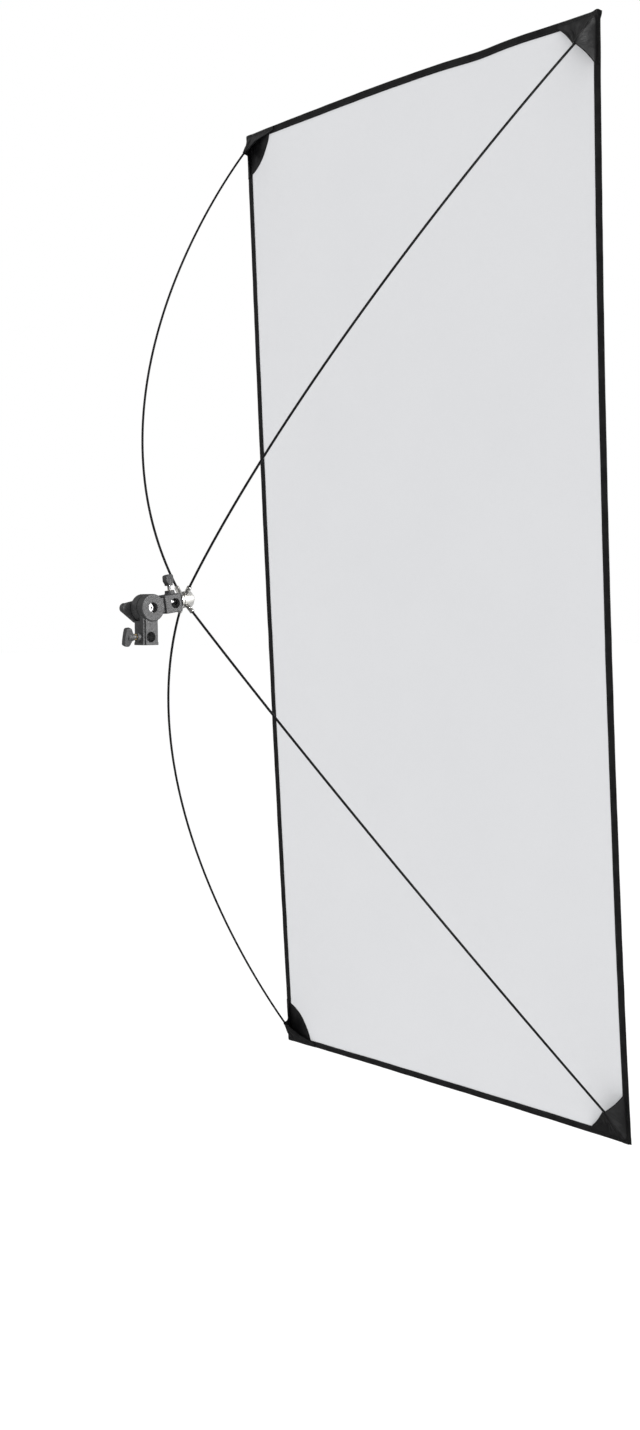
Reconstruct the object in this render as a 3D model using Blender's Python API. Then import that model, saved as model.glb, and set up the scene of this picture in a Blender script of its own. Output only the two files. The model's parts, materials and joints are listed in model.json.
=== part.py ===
"""A flat 90 x 180 cm fabric reflector panel on four sprung rods, with its hub and tilting bracket.

The stand's stud enters the bracket from below, along Z, and the origin is the socket's mouth.
+X points from the bracket towards the panel and +Y is the panel's left side, seen from the
bracket. The arm and everything ahead of it tilt about Y, and the head rolls in the arm's end.
"""

import math

import bmesh
import bpy
from mathutils import Matrix, Vector

MM = 0.001
GAP = 0.3 * MM

# Where the sub-assemblies stand.
PIVOT_REACH = 3.7 * MM
PIVOT_HEIGHT = 58.7 * MM
ARM_TILT = math.radians(7.62)
PANEL_TILT = math.radians(2.67)
HUB_REACH = 68.7 * MM
HUB_RISE = 3.0 * MM
PANEL_REACH = 521.5 * MM
PANEL_DROP = 22.8 * MM

# Fabric panel and its binding.
PANEL_WIDTH = 900 * MM
PANEL_HEIGHT = 1800 * MM
FABRIC_PLY = 1.0 * MM
FABRIC_INSET = 2.0 * MM
EDGE_PULL = 4.8 * MM
PANEL_BOW = 9.0 * MM
TOP_BOW = 5.0 * MM
BOTTOM_BOW = 2.0 * MM
STATIONS_ACROSS = 8
STATIONS_UP = 14
HEM_WIDTH = 13 * MM
HEM_PLY = 0.8 * MM
HEM_FOLD = 1.4 * MM
HEM_CORNER_GAP = 0.6 * MM

# Corner pockets.
POCKET_LEG_ACROSS = 86 * MM
POCKET_LEG_UP = 79 * MM
POCKET_PLY = 0.8 * MM
POCKET_BACK = 1.9 * MM
POCKET_BACK_LOW = 3.4 * MM
POCKET_MOUTH_FROM_ROD_END = 40 * MM
POCKET_RIDGE_CLEARANCE = 5.0 * MM

# Rods, their tips and ferrules.
ROD_RADIUS = 2.0 * MM
ROD_POINTS = 33
ROD_CURVE_SAMPLES = 400
ROD_START = 12 * MM
ROD_HANDLE = 503 * MM
ROD_SPREAD = math.radians(48)
ROD_RAKE = math.radians(5.15)
ROD_END_INSET_ACROSS = 15.6 * MM
ROD_END_INSET_UP = 23 * MM
ROD_END_LIFT = 7.8 * MM
TIP_RADIUS = 3.6 * MM
TIP_BORE = 2.4 * MM
TIP_MOUTH = 11 * MM
FERRULE_RADIUS = 4.0 * MM
FERRULE_BORE = 2.5 * MM
FERRULE_INNER = -2.0 * MM
FERRULE_OUTER = 15.5 * MM

# Hub, along the arm's axis from the tilt pivot.
HUB_RADIUS = 13 * MM
HUB_BACK = 59.0 * MM
HUB_FRONT = 81.2 * MM
HUB_CENTRE_BORE = 5.3 * MM
HUB_CENTRE_BORE_END = 65.7 * MM
HUB_BORE_FLOOR = 9.4 * MM
SPIGOT_RADIUS = 5.0 * MM
SPIGOT_INNER = 35.2 * MM
CAP_RADIUS = 9.5 * MM
CAP_THICKNESS = 3.2 * MM

# Tilt joint, along Y.
DISC_RADIUS = 21.4 * MM
NEAR_DISC_OUTER = -15.5 * MM
NEAR_DISC_INNER = -0.9 * MM
ARM_DISC_INNER = 0.9 * MM
ARM_DISC_OUTER = 17.5 * MM
BOLT_RADIUS = 4.0 * MM
BOLT_HEAD_RADIUS = 7.4 * MM
BOLT_RECESS_RADIUS = 8.0 * MM
BOLT_RECESS_DEPTH = 11.0 * MM
BOLT_HEAD_HEIGHT = 3.6 * MM
BOLT_END = 27 * MM
RUNNING_GAP = 0.35 * MM

# Stem of the bracket.
STEM_HALF_X = 13 * MM
STEM_HALF_Y = 14 * MM
STEM_TOP = 38 * MM
SOCKET_RADIUS = 8.2 * MM
SOCKET_DEPTH = 31 * MM
CROSS_SOCKET_RADIUS = 8.0 * MM
CROSS_SOCKET_HEIGHT = 12.7 * MM
LOCK_HEIGHT = 13 * MM
BOSS_RADIUS = 7.0 * MM
BOSS_END = 20 * MM
CORNER_REBATE = 3.2 * MM

# Screws, inserts and knobs.
SCREW_RADIUS = 3.0 * MM
INSERT_RADIUS = 4.8 * MM
INSERT_DEPTH = 3.0 * MM

# Clamp block of the arm, along the arm's axis.
BLOCK_START = 25.4 * MM
BLOCK_END = 56.7 * MM
BLOCK_HALF_Y = 13 * MM
BLOCK_LOW = -13.7 * MM
BLOCK_HIGH = 15.2 * MM
CLAMP_REACH = 44.4 * MM
CLAMP_RISE = 0.7 * MM
COLLAR_TOP = 21.0 * MM

ROUND_STEPS = 40
BORE_STEPS = 32
SMALL_STEPS = 20

ALONG_X = Matrix.Rotation(math.radians(90), 4, "Y")
ALONG_MINUS_X = Matrix.Rotation(math.radians(-90), 4, "Y")
ALONG_Y = Matrix.Rotation(math.radians(-90), 4, "X")
ALONG_MINUS_Y = Matrix.Rotation(math.radians(90), 4, "X")
ALONG_Z = Matrix.Identity(4)

FINISHES = {
    "moulding": ((0.035, 0.036, 0.038), 0.55, 0.0),
    "chrome": ((0.80, 0.80, 0.81), 0.14, 1.0),
    "nickel": ((0.66, 0.65, 0.62), 0.24, 1.0),
    "brass": ((0.71, 0.53, 0.24), 0.30, 1.0),
    "steel": ((0.46, 0.46, 0.47), 0.34, 1.0),
    "rubber": ((0.02, 0.02, 0.02), 0.80, 0.0),
    "fibreglass": ((0.012, 0.012, 0.013), 0.38, 0.0),
    "nylon": ((0.016, 0.016, 0.018), 0.50, 0.0),
    "binding": ((0.014, 0.014, 0.015), 0.70, 0.0),
    "fabric": ((0.76, 0.77, 0.79), 0.85, 0.0),
}

LEVELS = {"top": 1, "bottom": -1}
SIDES = {"left": 1, "right": -1}


def clear_scene():
    """Start from an empty scene."""
    for obj in list(bpy.data.objects):
        bpy.data.objects.remove(obj, do_unlink=True)


def make_materials():
    """One Principled material for each finish."""
    made = {}
    for name, (colour, roughness, metallic) in FINISHES.items():
        material = bpy.data.materials.new(name)
        material.use_nodes = True
        shader = material.node_tree.nodes["Principled BSDF"]
        shader.inputs["Base Color"].default_value = (*colour, 1.0)
        shader.inputs["Roughness"].default_value = roughness
        shader.inputs["Metallic"].default_value = metallic
        made[name] = material
    return made


def add_empty(name, matrix, parent=None):
    """A named axis or frame that parts hang on."""
    empty = bpy.data.objects.new(name, None)
    bpy.context.scene.collection.objects.link(empty)
    empty.parent = parent
    empty.matrix_local = matrix
    return empty


def add_part(name, shape, parent, finish, place=(0, 0, 0), turn=ALONG_Z, smooth=35):
    """Turn a bmesh into a named object on its frame, with its finish."""
    bmesh.ops.recalc_face_normals(shape, faces=shape.faces)
    mesh = bpy.data.meshes.new(name)
    shape.to_mesh(mesh)
    shape.free()
    mesh.materials.append(MATERIALS[finish])
    mesh.shade_smooth()
    mesh.set_sharp_from_angle(angle=math.radians(smooth))
    obj = bpy.data.objects.new(name, mesh)
    bpy.context.scene.collection.objects.link(obj)
    obj.parent = parent
    obj.matrix_local = Matrix.Translation(place) @ turn
    return obj


def combine(target, shape, operation, place=(0, 0, 0), turn=ALONG_Z):
    """Add a hidden tool body to the target with a Boolean modifier."""
    name = f"{target.name}.tool{len(target.modifiers)}"
    tool = add_part(name, shape, target.parent, "steel", place, turn)
    tool.hide_render = True
    tool.display_type = "WIRE"
    modifier = target.modifiers.new(operation.lower(), "BOOLEAN")
    modifier.operation = operation
    modifier.object = tool
    return tool


def cut(target, shape, place=(0, 0, 0), turn=ALONG_Z):
    combine(target, shape, "DIFFERENCE", place, turn)


def join(target, shape, place=(0, 0, 0), turn=ALONG_Z):
    combine(target, shape, "UNION", place, turn)


def lathe(profile, steps=ROUND_STEPS):
    """Revolve an outline of (radius, height) points about the local Z axis.

    An outline that starts and ends on the axis gives a solid with flat ends, and any other is closed
    into a ring.
    """
    solid = profile[0][0] == 0
    points = [point for point in profile if point[0] > 0]
    shape = bmesh.new()
    verts = [shape.verts.new((radius, 0, height)) for radius, height in points]
    edges = [shape.edges.new(pair) for pair in zip(verts, verts[1:], strict=False)]
    if not solid:
        edges.append(shape.edges.new((verts[-1], verts[0])))
    bmesh.ops.spin(
        shape, geom=verts + edges, cent=(0, 0, 0), axis=(0, 0, 1), angle=math.tau, steps=steps, use_merge=True
    )
    bmesh.ops.remove_doubles(shape, verts=shape.verts, dist=MM / 100)
    open_edges = [edge for edge in shape.edges if edge.is_boundary]
    bmesh.ops.holes_fill(shape, edges=open_edges, sides=0)
    return shape


def rod_shape(radius, low, high, steps=BORE_STEPS, chamfer=0.0):
    """A plain cylinder along Z, chamfered at its upper end if asked."""
    profile = [(0, low), (radius, low), (radius, high - chamfer)]
    if chamfer:
        profile.append((radius - chamfer, high))
    profile.append((0, high))
    return lathe(profile, steps)


def ring_shape(bore, radius, low, high, steps=BORE_STEPS):
    """A plain washer or bush along Z."""
    return lathe([(bore, low), (radius, low), (radius, high), (bore, high)], steps)


def box_shape(low, high, bevel=0.0):
    """A box between two corners, with its edges rounded if asked."""
    shape = bmesh.new()
    bmesh.ops.create_cube(shape, size=1)
    centre = (Vector(low) + Vector(high)) / 2
    size = Vector(high) - Vector(low)
    bmesh.ops.scale(shape, vec=size, verts=shape.verts)
    bmesh.ops.translate(shape, vec=centre, verts=shape.verts)
    if bevel:
        bmesh.ops.bevel(shape, geom=list(shape.edges), offset=bevel, segments=2, profile=0.5, affect="EDGES")
    return shape


def arc(centre, radius, first, last, steps):
    """Points on an arc, in degrees, both ends included."""
    points = []
    for step in range(steps + 1):
        angle = math.radians(first + (last - first) * step / steps)
        points.append((centre[0] + radius * math.cos(angle), centre[1] + radius * math.sin(angle)))
    return points


def plate_shape(outline, near, far, bevel=0.0, segments=2):
    """Extrude an outline in X and Z along Y, with both rims rounded if asked."""
    shape = bmesh.new()
    floor = shape.faces.new([shape.verts.new((x, near, z)) for x, z in outline])
    grown = bmesh.ops.extrude_face_region(shape, geom=[floor])
    raised = [item for item in grown["geom"] if isinstance(item, bmesh.types.BMVert)]
    bmesh.ops.translate(shape, vec=(0, far - near, 0), verts=raised)
    if not any(face.normal.dot(Vector((0, 1, 0))) < -0.9 for face in shape.faces):
        shape.faces.new([edge.verts[0] for edge in floor.edges])
    if bevel:
        shape.normal_update()
        rims = [edge for edge in shape.edges if abs(edge.verts[0].co.y - edge.verts[1].co.y) < MM / 100]
        bmesh.ops.bevel(shape, geom=rims, offset=bevel, segments=segments, profile=0.5, affect="EDGES")
    return shape


def loft(rings):
    """Join equal rings of points into one closed body with capped ends."""
    shape = bmesh.new()
    loops = [[shape.verts.new(point) for point in ring] for ring in rings]
    count = len(loops[0])
    for lower, upper in zip(loops, loops[1:], strict=False):
        for index in range(count):
            after = (index + 1) % count
            shape.faces.new((lower[index], lower[after], upper[after], upper[index]))
    shape.faces.new(reversed(loops[0]))
    shape.faces.new(loops[-1])
    return shape


# ---------------------------------------------------------------- stand bracket


def make_bracket_body(root):
    """Moulded stem and near tilt disc, with the stud sockets and the side boss."""
    pivot = (PIVOT_REACH, 0, PIVOT_HEIGHT)
    half = STEM_HALF_X
    rise = STEM_TOP + 14 * MM
    neck = [(-half, 0), (half, 0), (half, rise), (half - 2 * MM, rise + 4 * MM)]
    neck += [(-half + 2 * MM, rise + 4 * MM), (-half, rise)]
    stem = plate_shape(neck, -STEM_HALF_Y + 0.5 * MM, NEAR_DISC_INNER - 0.01 * MM)
    body = add_part("bracket_body", stem, root, "moulding")
    join(body, box_shape((-half, -STEM_HALF_Y + 0.6 * MM, 0.6 * MM), (half, STEM_HALF_Y, STEM_TOP), 0.8 * MM))
    lip = box_shape(
        (-half - 0.6 * MM, -STEM_HALF_Y, 0), (half + 0.6 * MM, STEM_HALF_Y + 0.6 * MM, 4.4 * MM), 0.5 * MM
    )
    join(body, lip)
    rebate = box_shape(
        (-half - 2 * MM, -STEM_HALF_Y - 2 * MM, -2 * MM),
        (-half + CORNER_REBATE, -STEM_HALF_Y + CORNER_REBATE, PIVOT_HEIGHT + 4 * MM),
    )
    cut(body, rebate)
    disc = lathe(
        [
            (0, 0),
            (DISC_RADIUS, 0),
            (DISC_RADIUS, NEAR_DISC_INNER - NEAR_DISC_OUTER - 1.2 * MM),
            (DISC_RADIUS - 1.2 * MM, NEAR_DISC_INNER - NEAR_DISC_OUTER),
            (0, NEAR_DISC_INNER - NEAR_DISC_OUTER),
        ]
    )
    join(body, disc, (PIVOT_REACH, NEAR_DISC_INNER, PIVOT_HEIGHT), ALONG_MINUS_Y)
    boss = rod_shape(BOSS_RADIUS, 0, BOSS_END - half + MM, BORE_STEPS, 0.8 * MM)
    join(body, boss, (-half + MM, 0, LOCK_HEIGHT), ALONG_MINUS_X)
    saddle = DISC_RADIUS + 1.2 * MM
    cut(body, rod_shape(saddle, 0, 20 * MM), (PIVOT_REACH, -0.4 * MM, PIVOT_HEIGHT), ALONG_Y)
    cut(body, rod_shape(SOCKET_RADIUS, -5 * MM, SOCKET_DEPTH))
    reach = 20 * MM
    cut(body, rod_shape(CROSS_SOCKET_RADIUS, -reach, reach), (0, 0, CROSS_SOCKET_HEIGHT), ALONG_Y)
    recess = rod_shape(BOLT_RECESS_RADIUS, 0, 20 * MM)
    cut(body, recess, (PIVOT_REACH, NEAR_DISC_OUTER + BOLT_RECESS_DEPTH, PIVOT_HEIGHT), ALONG_MINUS_Y)
    cut(body, rod_shape(BOLT_RADIUS + RUNNING_GAP, -20 * MM, 20 * MM, SMALL_STEPS), pivot, ALONG_Y)
    screw_way = rod_shape(SCREW_RADIUS + RUNNING_GAP, 2 * MM, 30 * MM, SMALL_STEPS)
    cut(body, screw_way, (0, 0, LOCK_HEIGHT), ALONG_MINUS_X)
    seat = rod_shape(INSERT_RADIUS + GAP, BOSS_END - INSERT_DEPTH, 30 * MM, SMALL_STEPS)
    cut(body, seat, (0, 0, LOCK_HEIGHT), ALONG_MINUS_X)
    return body


def make_insert(name, parent, place, turn):
    """Threaded insert with its face flush in the boss."""
    shape = ring_shape(SCREW_RADIUS + RUNNING_GAP, INSERT_RADIUS, 0, INSERT_DEPTH - 0.4 * MM, SMALL_STEPS)
    return add_part(name, shape, parent, "brass", place, turn)


def make_tilt_bolt(root):
    """Pan-head bolt with a hex socket, from the near disc's recess to the lever."""
    floor = NEAR_DISC_OUTER + BOLT_RECESS_DEPTH
    under_head = GAP
    head_top = under_head + BOLT_HEAD_HEIGHT
    profile = [
        (0, -BOLT_END + floor),
        (BOLT_RADIUS, -BOLT_END + floor),
        (BOLT_RADIUS, under_head),
        (BOLT_HEAD_RADIUS, under_head),
        (BOLT_HEAD_RADIUS, head_top - 1.4 * MM),
        (BOLT_HEAD_RADIUS - 1.6 * MM, head_top),
        (0, head_top),
    ]
    place = (PIVOT_REACH, floor, PIVOT_HEIGHT)
    bolt = add_part("tilt_bolt", lathe(profile, BORE_STEPS), root, "chrome", place, ALONG_MINUS_Y)
    socket = rod_shape(2.9 * MM, 0, 10 * MM, 6)
    cut(bolt, socket, (PIVOT_REACH, floor - head_top + 2.2 * MM, PIVOT_HEIGHT), ALONG_MINUS_Y)
    return bolt


def make_friction_washer(root):
    """Grip ring between the two tilt discs."""
    half = NEAR_DISC_INNER + GAP
    shape = ring_shape(BOLT_RADIUS + RUNNING_GAP, DISC_RADIUS - 1.5 * MM, half, -half, ROUND_STEPS)
    return add_part("friction_washer", shape, root, "rubber", (PIVOT_REACH, 0, PIVOT_HEIGHT), ALONG_Y)


# ---------------------------------------------------------------- knobs and lever


def wing_outline(half_span, height, hub):
    """Side outline of a wing knob, symmetrical about its screw axis."""
    tip = 0.3 * height
    right = [(hub, 0)]
    right += arc((half_span - tip, 0.46 * height), tip, -62, -5, 4)
    right += [(0.97 * half_span, 0.8 * height), (0.86 * half_span, 0.95 * height), (0.4 * half_span, height)]
    left = [(-x, z) for x, z in reversed(right)]
    return right + left


def make_wing_knob(name, parent, place, turn, half_span, height, thick):
    """Wing knob on a round hub, with a blind bore for its screw."""
    hub = SCREW_RADIUS + 3.2 * MM
    outline = wing_outline(half_span, height, hub)
    blade = plate_shape(outline, -thick / 2, thick / 2, 1.6 * MM)
    knob = add_part(name, blade, parent, "moulding", place, turn)
    collar = rod_shape(hub + 0.4 * MM, -1.5 * MM, 0.6 * height, SMALL_STEPS, 1.0 * MM)
    join(knob, collar, place, turn)
    bore = rod_shape(SCREW_RADIUS + GAP, -5 * MM, 8 * MM, SMALL_STEPS)
    cut(knob, bore, place, turn)
    return knob


def make_screw(name, parent, place, turn, low, high):
    """Chrome shank with a smaller bearing tip at its lower end."""
    tip = SCREW_RADIUS - 0.8 * MM
    profile = [(0, low), (tip, low), (tip, low + 1.5 * MM), (SCREW_RADIUS, low + 2.2 * MM)]
    profile += [(SCREW_RADIUS, high), (0, high)]
    return add_part(name, lathe(profile, SMALL_STEPS), parent, "chrome", place, turn)


def make_stud_lock():
    """Wing knob and screw in the stem's side boss."""
    axis = add_empty("lock_axis", Matrix.Translation((0, 0, LOCK_HEIGHT)) @ ALONG_MINUS_X)
    knob_foot = BOSS_END + 7.5 * MM
    lean = Matrix.Rotation(math.radians(-15), 4, "Z")
    make_wing_knob("lock_knob", axis, (0, 0, knob_foot), lean, 15 * MM, 15 * MM, 9 * MM)
    make_screw("lock_screw", axis, (0, 0, 0), ALONG_Z, SOCKET_RADIUS + 0.5 * MM, knob_foot + 7.6 * MM)


def make_thumbscrew(tilt_frame):
    """Wing knob and screw on top of the clamp block."""
    axis = add_empty("thumb_axis", Matrix.Translation((CLAMP_REACH, 0, 0)), tilt_frame)
    knob_foot = COLLAR_TOP + 9.5 * MM
    face = Matrix.Rotation(math.radians(25), 4, "Z")
    make_wing_knob("thumb_knob", axis, (0, 0, knob_foot), face, 11 * MM, 16 * MM, 9 * MM)
    tip = HUB_RISE + SPIGOT_RADIUS + 0.5 * MM
    make_screw("thumb_screw", axis, (0, 0, 0), ALONG_Z, tip, knob_foot + 7.6 * MM)


def make_tilt_lever():
    """Wing handle, nut insert and washer on the far end of the tilt bolt."""
    axis = add_empty("lever_axis", Matrix.Translation((PIVOT_REACH, 0, PIVOT_HEIGHT)))
    washer_low = ARM_DISC_OUTER + GAP
    washer = ring_shape(BOLT_RADIUS + RUNNING_GAP, 9 * MM, washer_low, washer_low + 0.8 * MM, BORE_STEPS)
    add_part("lever_washer", washer, axis, "steel", (0, 0, 0), ALONG_Y)
    low = washer_low + 1.1 * MM
    high = low + 11 * MM
    outline = arc((-27 * MM, -0.5 * MM), 8.2 * MM, 80, 215, 6)
    outline += arc((-6.5 * MM, -17.5 * MM), 6.5 * MM, 225, 350, 6)
    outline += arc((0, 0), 13 * MM, -28, 100, 8)
    lever = add_part("tilt_lever", plate_shape(outline, low, high, 2.2 * MM), axis, "moulding")
    crown = rod_shape(11.5 * MM, high - 3 * MM, high + 3 * MM, BORE_STEPS, 1.6 * MM)
    join(lever, crown, (0, 0, 0), ALONG_Y)
    cut(lever, rod_shape(BOLT_RADIUS + RUNNING_GAP, 0, BOLT_END + GAP, SMALL_STEPS), (0, 0, 0), ALONG_Y)
    cut(lever, rod_shape(7 * MM + GAP, 0, low + 4 * MM + GAP, BORE_STEPS), (0, 0, 0), ALONG_Y)
    insert = ring_shape(BOLT_RADIUS + RUNNING_GAP, 7 * MM, low, low + 4 * MM, BORE_STEPS)
    add_part("lever_insert", insert, axis, "brass", (0, 0, 0), ALONG_Y)


# ---------------------------------------------------------------- arm


def make_arm_body(tilt_frame):
    """Far tilt disc, stepped neck and clamp block, cut by the sockets."""
    thick = ARM_DISC_OUTER - ARM_DISC_INNER
    disc = lathe(
        [(0, 0), (DISC_RADIUS, 0), (DISC_RADIUS, thick - 1.2 * MM), (DISC_RADIUS - 1.2 * MM, thick), (0, thick)]
    )
    body = add_part("arm_body", disc, tilt_frame, "moulding", (0, ARM_DISC_INNER, 0), ALONG_Y)
    join(body, box_shape((8 * MM, ARM_DISC_INNER + 0.01 * MM, -11 * MM), (22 * MM, 12.4 * MM, 11 * MM)))
    flange = [(15.5 * MM, 12.6 * MM), (15.5 * MM, -5 * MM), (20 * MM, -9 * MM)]
    flange += [(24 * MM, -12.4 * MM), (24 * MM, 12.6 * MM)]
    join(body, plate_shape(flange, -10.6 * MM, 12.2 * MM, 0.8 * MM, 1))
    join(body, box_shape((22 * MM, -9.6 * MM, -11 * MM), (28 * MM, 11.4 * MM, 11.6 * MM)))
    block = box_shape(
        (BLOCK_START, -BLOCK_HALF_Y, BLOCK_LOW), (BLOCK_END, BLOCK_HALF_Y, BLOCK_HIGH), 1.3 * MM
    )
    join(body, block)
    collar = [(0, 12 * MM), (8.8 * MM, 12 * MM), (8.8 * MM, BLOCK_HIGH + 0.8 * MM)]
    collar += [(8.0 * MM, BLOCK_HIGH + 2.0 * MM), (7.6 * MM, COLLAR_TOP), (0, COLLAR_TOP)]
    join(body, lathe(collar, BORE_STEPS), (CLAMP_REACH, 0, 0))
    clearance = rod_shape(DISC_RADIUS + 0.9 * MM, 0, 20 * MM)
    cut(body, clearance, (0, ARM_DISC_INNER - 0.02 * MM, 0), ALONG_MINUS_Y)
    cut(body, rod_shape(BOLT_RADIUS + RUNNING_GAP, 0, 20 * MM, SMALL_STEPS), (0, 0, 0), ALONG_Y)
    cut(body, rod_shape(CROSS_SOCKET_RADIUS, -20 * MM, 20 * MM), (CLAMP_REACH, 0, CLAMP_RISE), ALONG_Y)
    end_bore = rod_shape(SPIGOT_RADIUS + RUNNING_GAP, SPIGOT_INNER - 1 * MM, 70 * MM)
    cut(body, end_bore, (0, 0, HUB_RISE), ALONG_X)
    cut(body, rod_shape(SCREW_RADIUS + RUNNING_GAP, 2 * MM, 30 * MM, SMALL_STEPS), (CLAMP_REACH, 0, 0))
    seat = rod_shape(INSERT_RADIUS + GAP, COLLAR_TOP - INSERT_DEPTH, 30 * MM, SMALL_STEPS)
    cut(body, seat, (CLAMP_REACH, 0, 0))
    return body


# ---------------------------------------------------------------- hub and rods


def ferrule_frame(points):
    """A frame at the rod's first point, with Z along the rod's first stretch."""
    along = (points[1] - points[0]).normalized()
    return Matrix.Translation(points[0]) @ along.to_track_quat("Z", "Y").to_matrix().to_4x4()


def make_hub(roll_frame, panel_to_hub, rods):
    """Turned hub, its spigot, washer and cap. Every reach is measured from the tilt pivot."""
    back = HUB_BACK - HUB_REACH
    front = HUB_FRONT - HUB_REACH
    edge = 1.0 * MM
    groove = back + 3.6 * MM
    profile = [
        (0, back),
        (HUB_RADIUS - edge, back),
        (HUB_RADIUS, back + edge),
        (HUB_RADIUS, groove),
        (HUB_RADIUS - 0.8 * MM, groove + 0.5 * MM),
        (HUB_RADIUS - 0.8 * MM, groove + 1.3 * MM),
        (HUB_RADIUS, groove + 1.8 * MM),
        (HUB_RADIUS, front - edge),
        (HUB_RADIUS - edge, front),
        (0, front),
    ]
    hub = add_part("hub_body", lathe(profile), roll_frame, "nickel", (0, 0, 0), ALONG_X)
    bore = rod_shape(HUB_CENTRE_BORE, back - 5 * MM, HUB_CENTRE_BORE_END - HUB_REACH, SMALL_STEPS)
    cut(hub, bore, (0, 0, 0), ALONG_X)
    for points in rods.values():
        frame = panel_to_hub @ ferrule_frame(points)
        low = HUB_BORE_FLOOR - ROD_START
        cutter = rod_shape(FERRULE_RADIUS + GAP, low, 30 * MM, SMALL_STEPS)
        cut(hub, cutter, frame.to_translation(), frame.to_quaternion().to_matrix().to_4x4())
    spigot_low = SPIGOT_INNER - HUB_REACH
    spigot_high = HUB_CENTRE_BORE_END - HUB_REACH - GAP
    spigot = lathe(
        [
            (0, spigot_low),
            (SPIGOT_RADIUS - edge, spigot_low),
            (SPIGOT_RADIUS, spigot_low + edge),
            (SPIGOT_RADIUS, spigot_high),
            (0, spigot_high),
        ],
        BORE_STEPS,
    )
    add_part("hub_spigot", spigot, roll_frame, "chrome", (0, 0, 0), ALONG_X)
    washer = ring_shape(SPIGOT_RADIUS + RUNNING_GAP, 9 * MM, BLOCK_END - HUB_REACH + 0.5 * MM, back - GAP)
    add_part("hub_washer", washer, roll_frame, "steel", (0, 0, 0), ALONG_X)
    cap_low = front + GAP
    cap_high = cap_low + CAP_THICKNESS
    cap = lathe(
        [
            (0, cap_low),
            (CAP_RADIUS, cap_low),
            (CAP_RADIUS, cap_high - edge),
            (CAP_RADIUS - edge, cap_high),
            (4 * MM, cap_high),
            (4 * MM, cap_high - 1.6 * MM),
            (0, cap_high - 1.6 * MM),
        ],
        BORE_STEPS,
    )
    add_part("hub_cap", cap, roll_frame, "moulding", (0, 0, 0), ALONG_X)


def rod_start_direction(side, level):
    """Direction in which a rod leaves the hub, in the hub's frame."""
    flat = math.cos(ROD_RAKE)
    return Vector(
        (
            math.sin(ROD_RAKE),
            side * flat * math.cos(ROD_SPREAD),
            level * flat * math.sin(ROD_SPREAD),
        )
    )


def rod_centreline(side, level, hub_to_panel):
    """Sprung curve of one rod, in the panel's frame, as evenly spaced points."""
    direction = hub_to_panel.to_3x3() @ rod_start_direction(side, level)
    start = hub_to_panel.to_translation() + ROD_START * direction
    handle = start + ROD_HANDLE * direction
    end = Vector(
        (
            -ROD_END_LIFT,
            side * (PANEL_WIDTH / 2 - ROD_END_INSET_ACROSS),
            level * (PANEL_HEIGHT / 2 - ROD_END_INSET_UP),
        )
    )
    dense = []
    for step in range(ROD_CURVE_SAMPLES + 1):
        t = step / ROD_CURVE_SAMPLES
        rest = 1 - t
        dense.append(rest**3 * start + 3 * rest * rest * t * handle + (3 * rest + t) * t * t * end)
    return even_points(dense, ROD_POINTS)


def even_points(dense, count):
    """Points at equal distances along a dense line."""
    travelled = [0.0]
    for before, after in zip(dense, dense[1:], strict=False):
        travelled.append(travelled[-1] + (after - before).length)
    points = []
    index = 0
    for step in range(count):
        target = travelled[-1] * step / (count - 1)
        while index < len(dense) - 2 and travelled[index + 1] < target:
            index += 1
        share = (target - travelled[index]) / (travelled[index + 1] - travelled[index])
        points.append(dense[index].lerp(dense[index + 1], share))
    return points


def make_rod(name, points, panel_frame):
    """Round rod as a bevelled curve."""
    curve = bpy.data.curves.new(name, "CURVE")
    curve.dimensions = "3D"
    curve.bevel_depth = ROD_RADIUS
    curve.bevel_resolution = 2
    curve.resolution_u = 1
    curve.render_resolution_u = 0
    curve.use_fill_caps = True
    spline = curve.splines.new("POLY")
    spline.points.add(len(points) - 1)
    for target, point in zip(spline.points, points, strict=True):
        target.co = (*point, 1.0)
    curve.materials.append(MATERIALS["fibreglass"])
    obj = bpy.data.objects.new(name, curve)
    bpy.context.scene.collection.objects.link(obj)
    obj.parent = panel_frame
    return obj


def make_ferrule(name, points, panel_frame):
    """Socket tube that carries the rod's foot, standing in the hub's bore."""
    frame = ferrule_frame(points)
    lip = 0.7 * MM
    profile = [
        (FERRULE_BORE, FERRULE_INNER),
        (FERRULE_RADIUS, FERRULE_INNER),
        (FERRULE_RADIUS, FERRULE_OUTER - lip),
        (FERRULE_RADIUS - lip, FERRULE_OUTER),
        (FERRULE_BORE, FERRULE_OUTER),
    ]
    turn = frame.to_quaternion().to_matrix().to_4x4()
    add_part(name, lathe(profile, SMALL_STEPS), panel_frame, "nickel", frame.to_translation(), turn)


def make_rod_tip(name, points, panel_frame):
    """Slip-on cap with a round nose over the rod's end."""
    end = points[-1]
    along = (end - points[-2]).normalized()
    nose = 0.7 * MM
    profile = [(0, GAP), (TIP_BORE, GAP), (TIP_BORE, -TIP_MOUTH)]
    profile += [(TIP_RADIUS - 0.5 * MM, -TIP_MOUTH), (TIP_RADIUS, -TIP_MOUTH + 0.5 * MM)]
    profile += [(radius, nose + height) for radius, height in arc((0, 0), TIP_RADIUS, 0, 75, 4)]
    profile.append((0, nose + TIP_RADIUS))
    turn = along.to_track_quat("Z", "Y").to_matrix().to_4x4()
    add_part(name, lathe(profile, SMALL_STEPS), panel_frame, "rubber", end, turn)


# ---------------------------------------------------------------- fabric, hems, pockets


def half_width(t):
    """Half the panel's width at height t, from -1 at the bottom to 1 at the top."""
    return PANEL_WIDTH / 2 - EDGE_PULL * (1 - t * t)


def bow(t):
    """How far the panel leans towards the hub at height t: two flat halves that meet at mid-height."""
    return -PANEL_BOW * (1 - abs(t))


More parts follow.
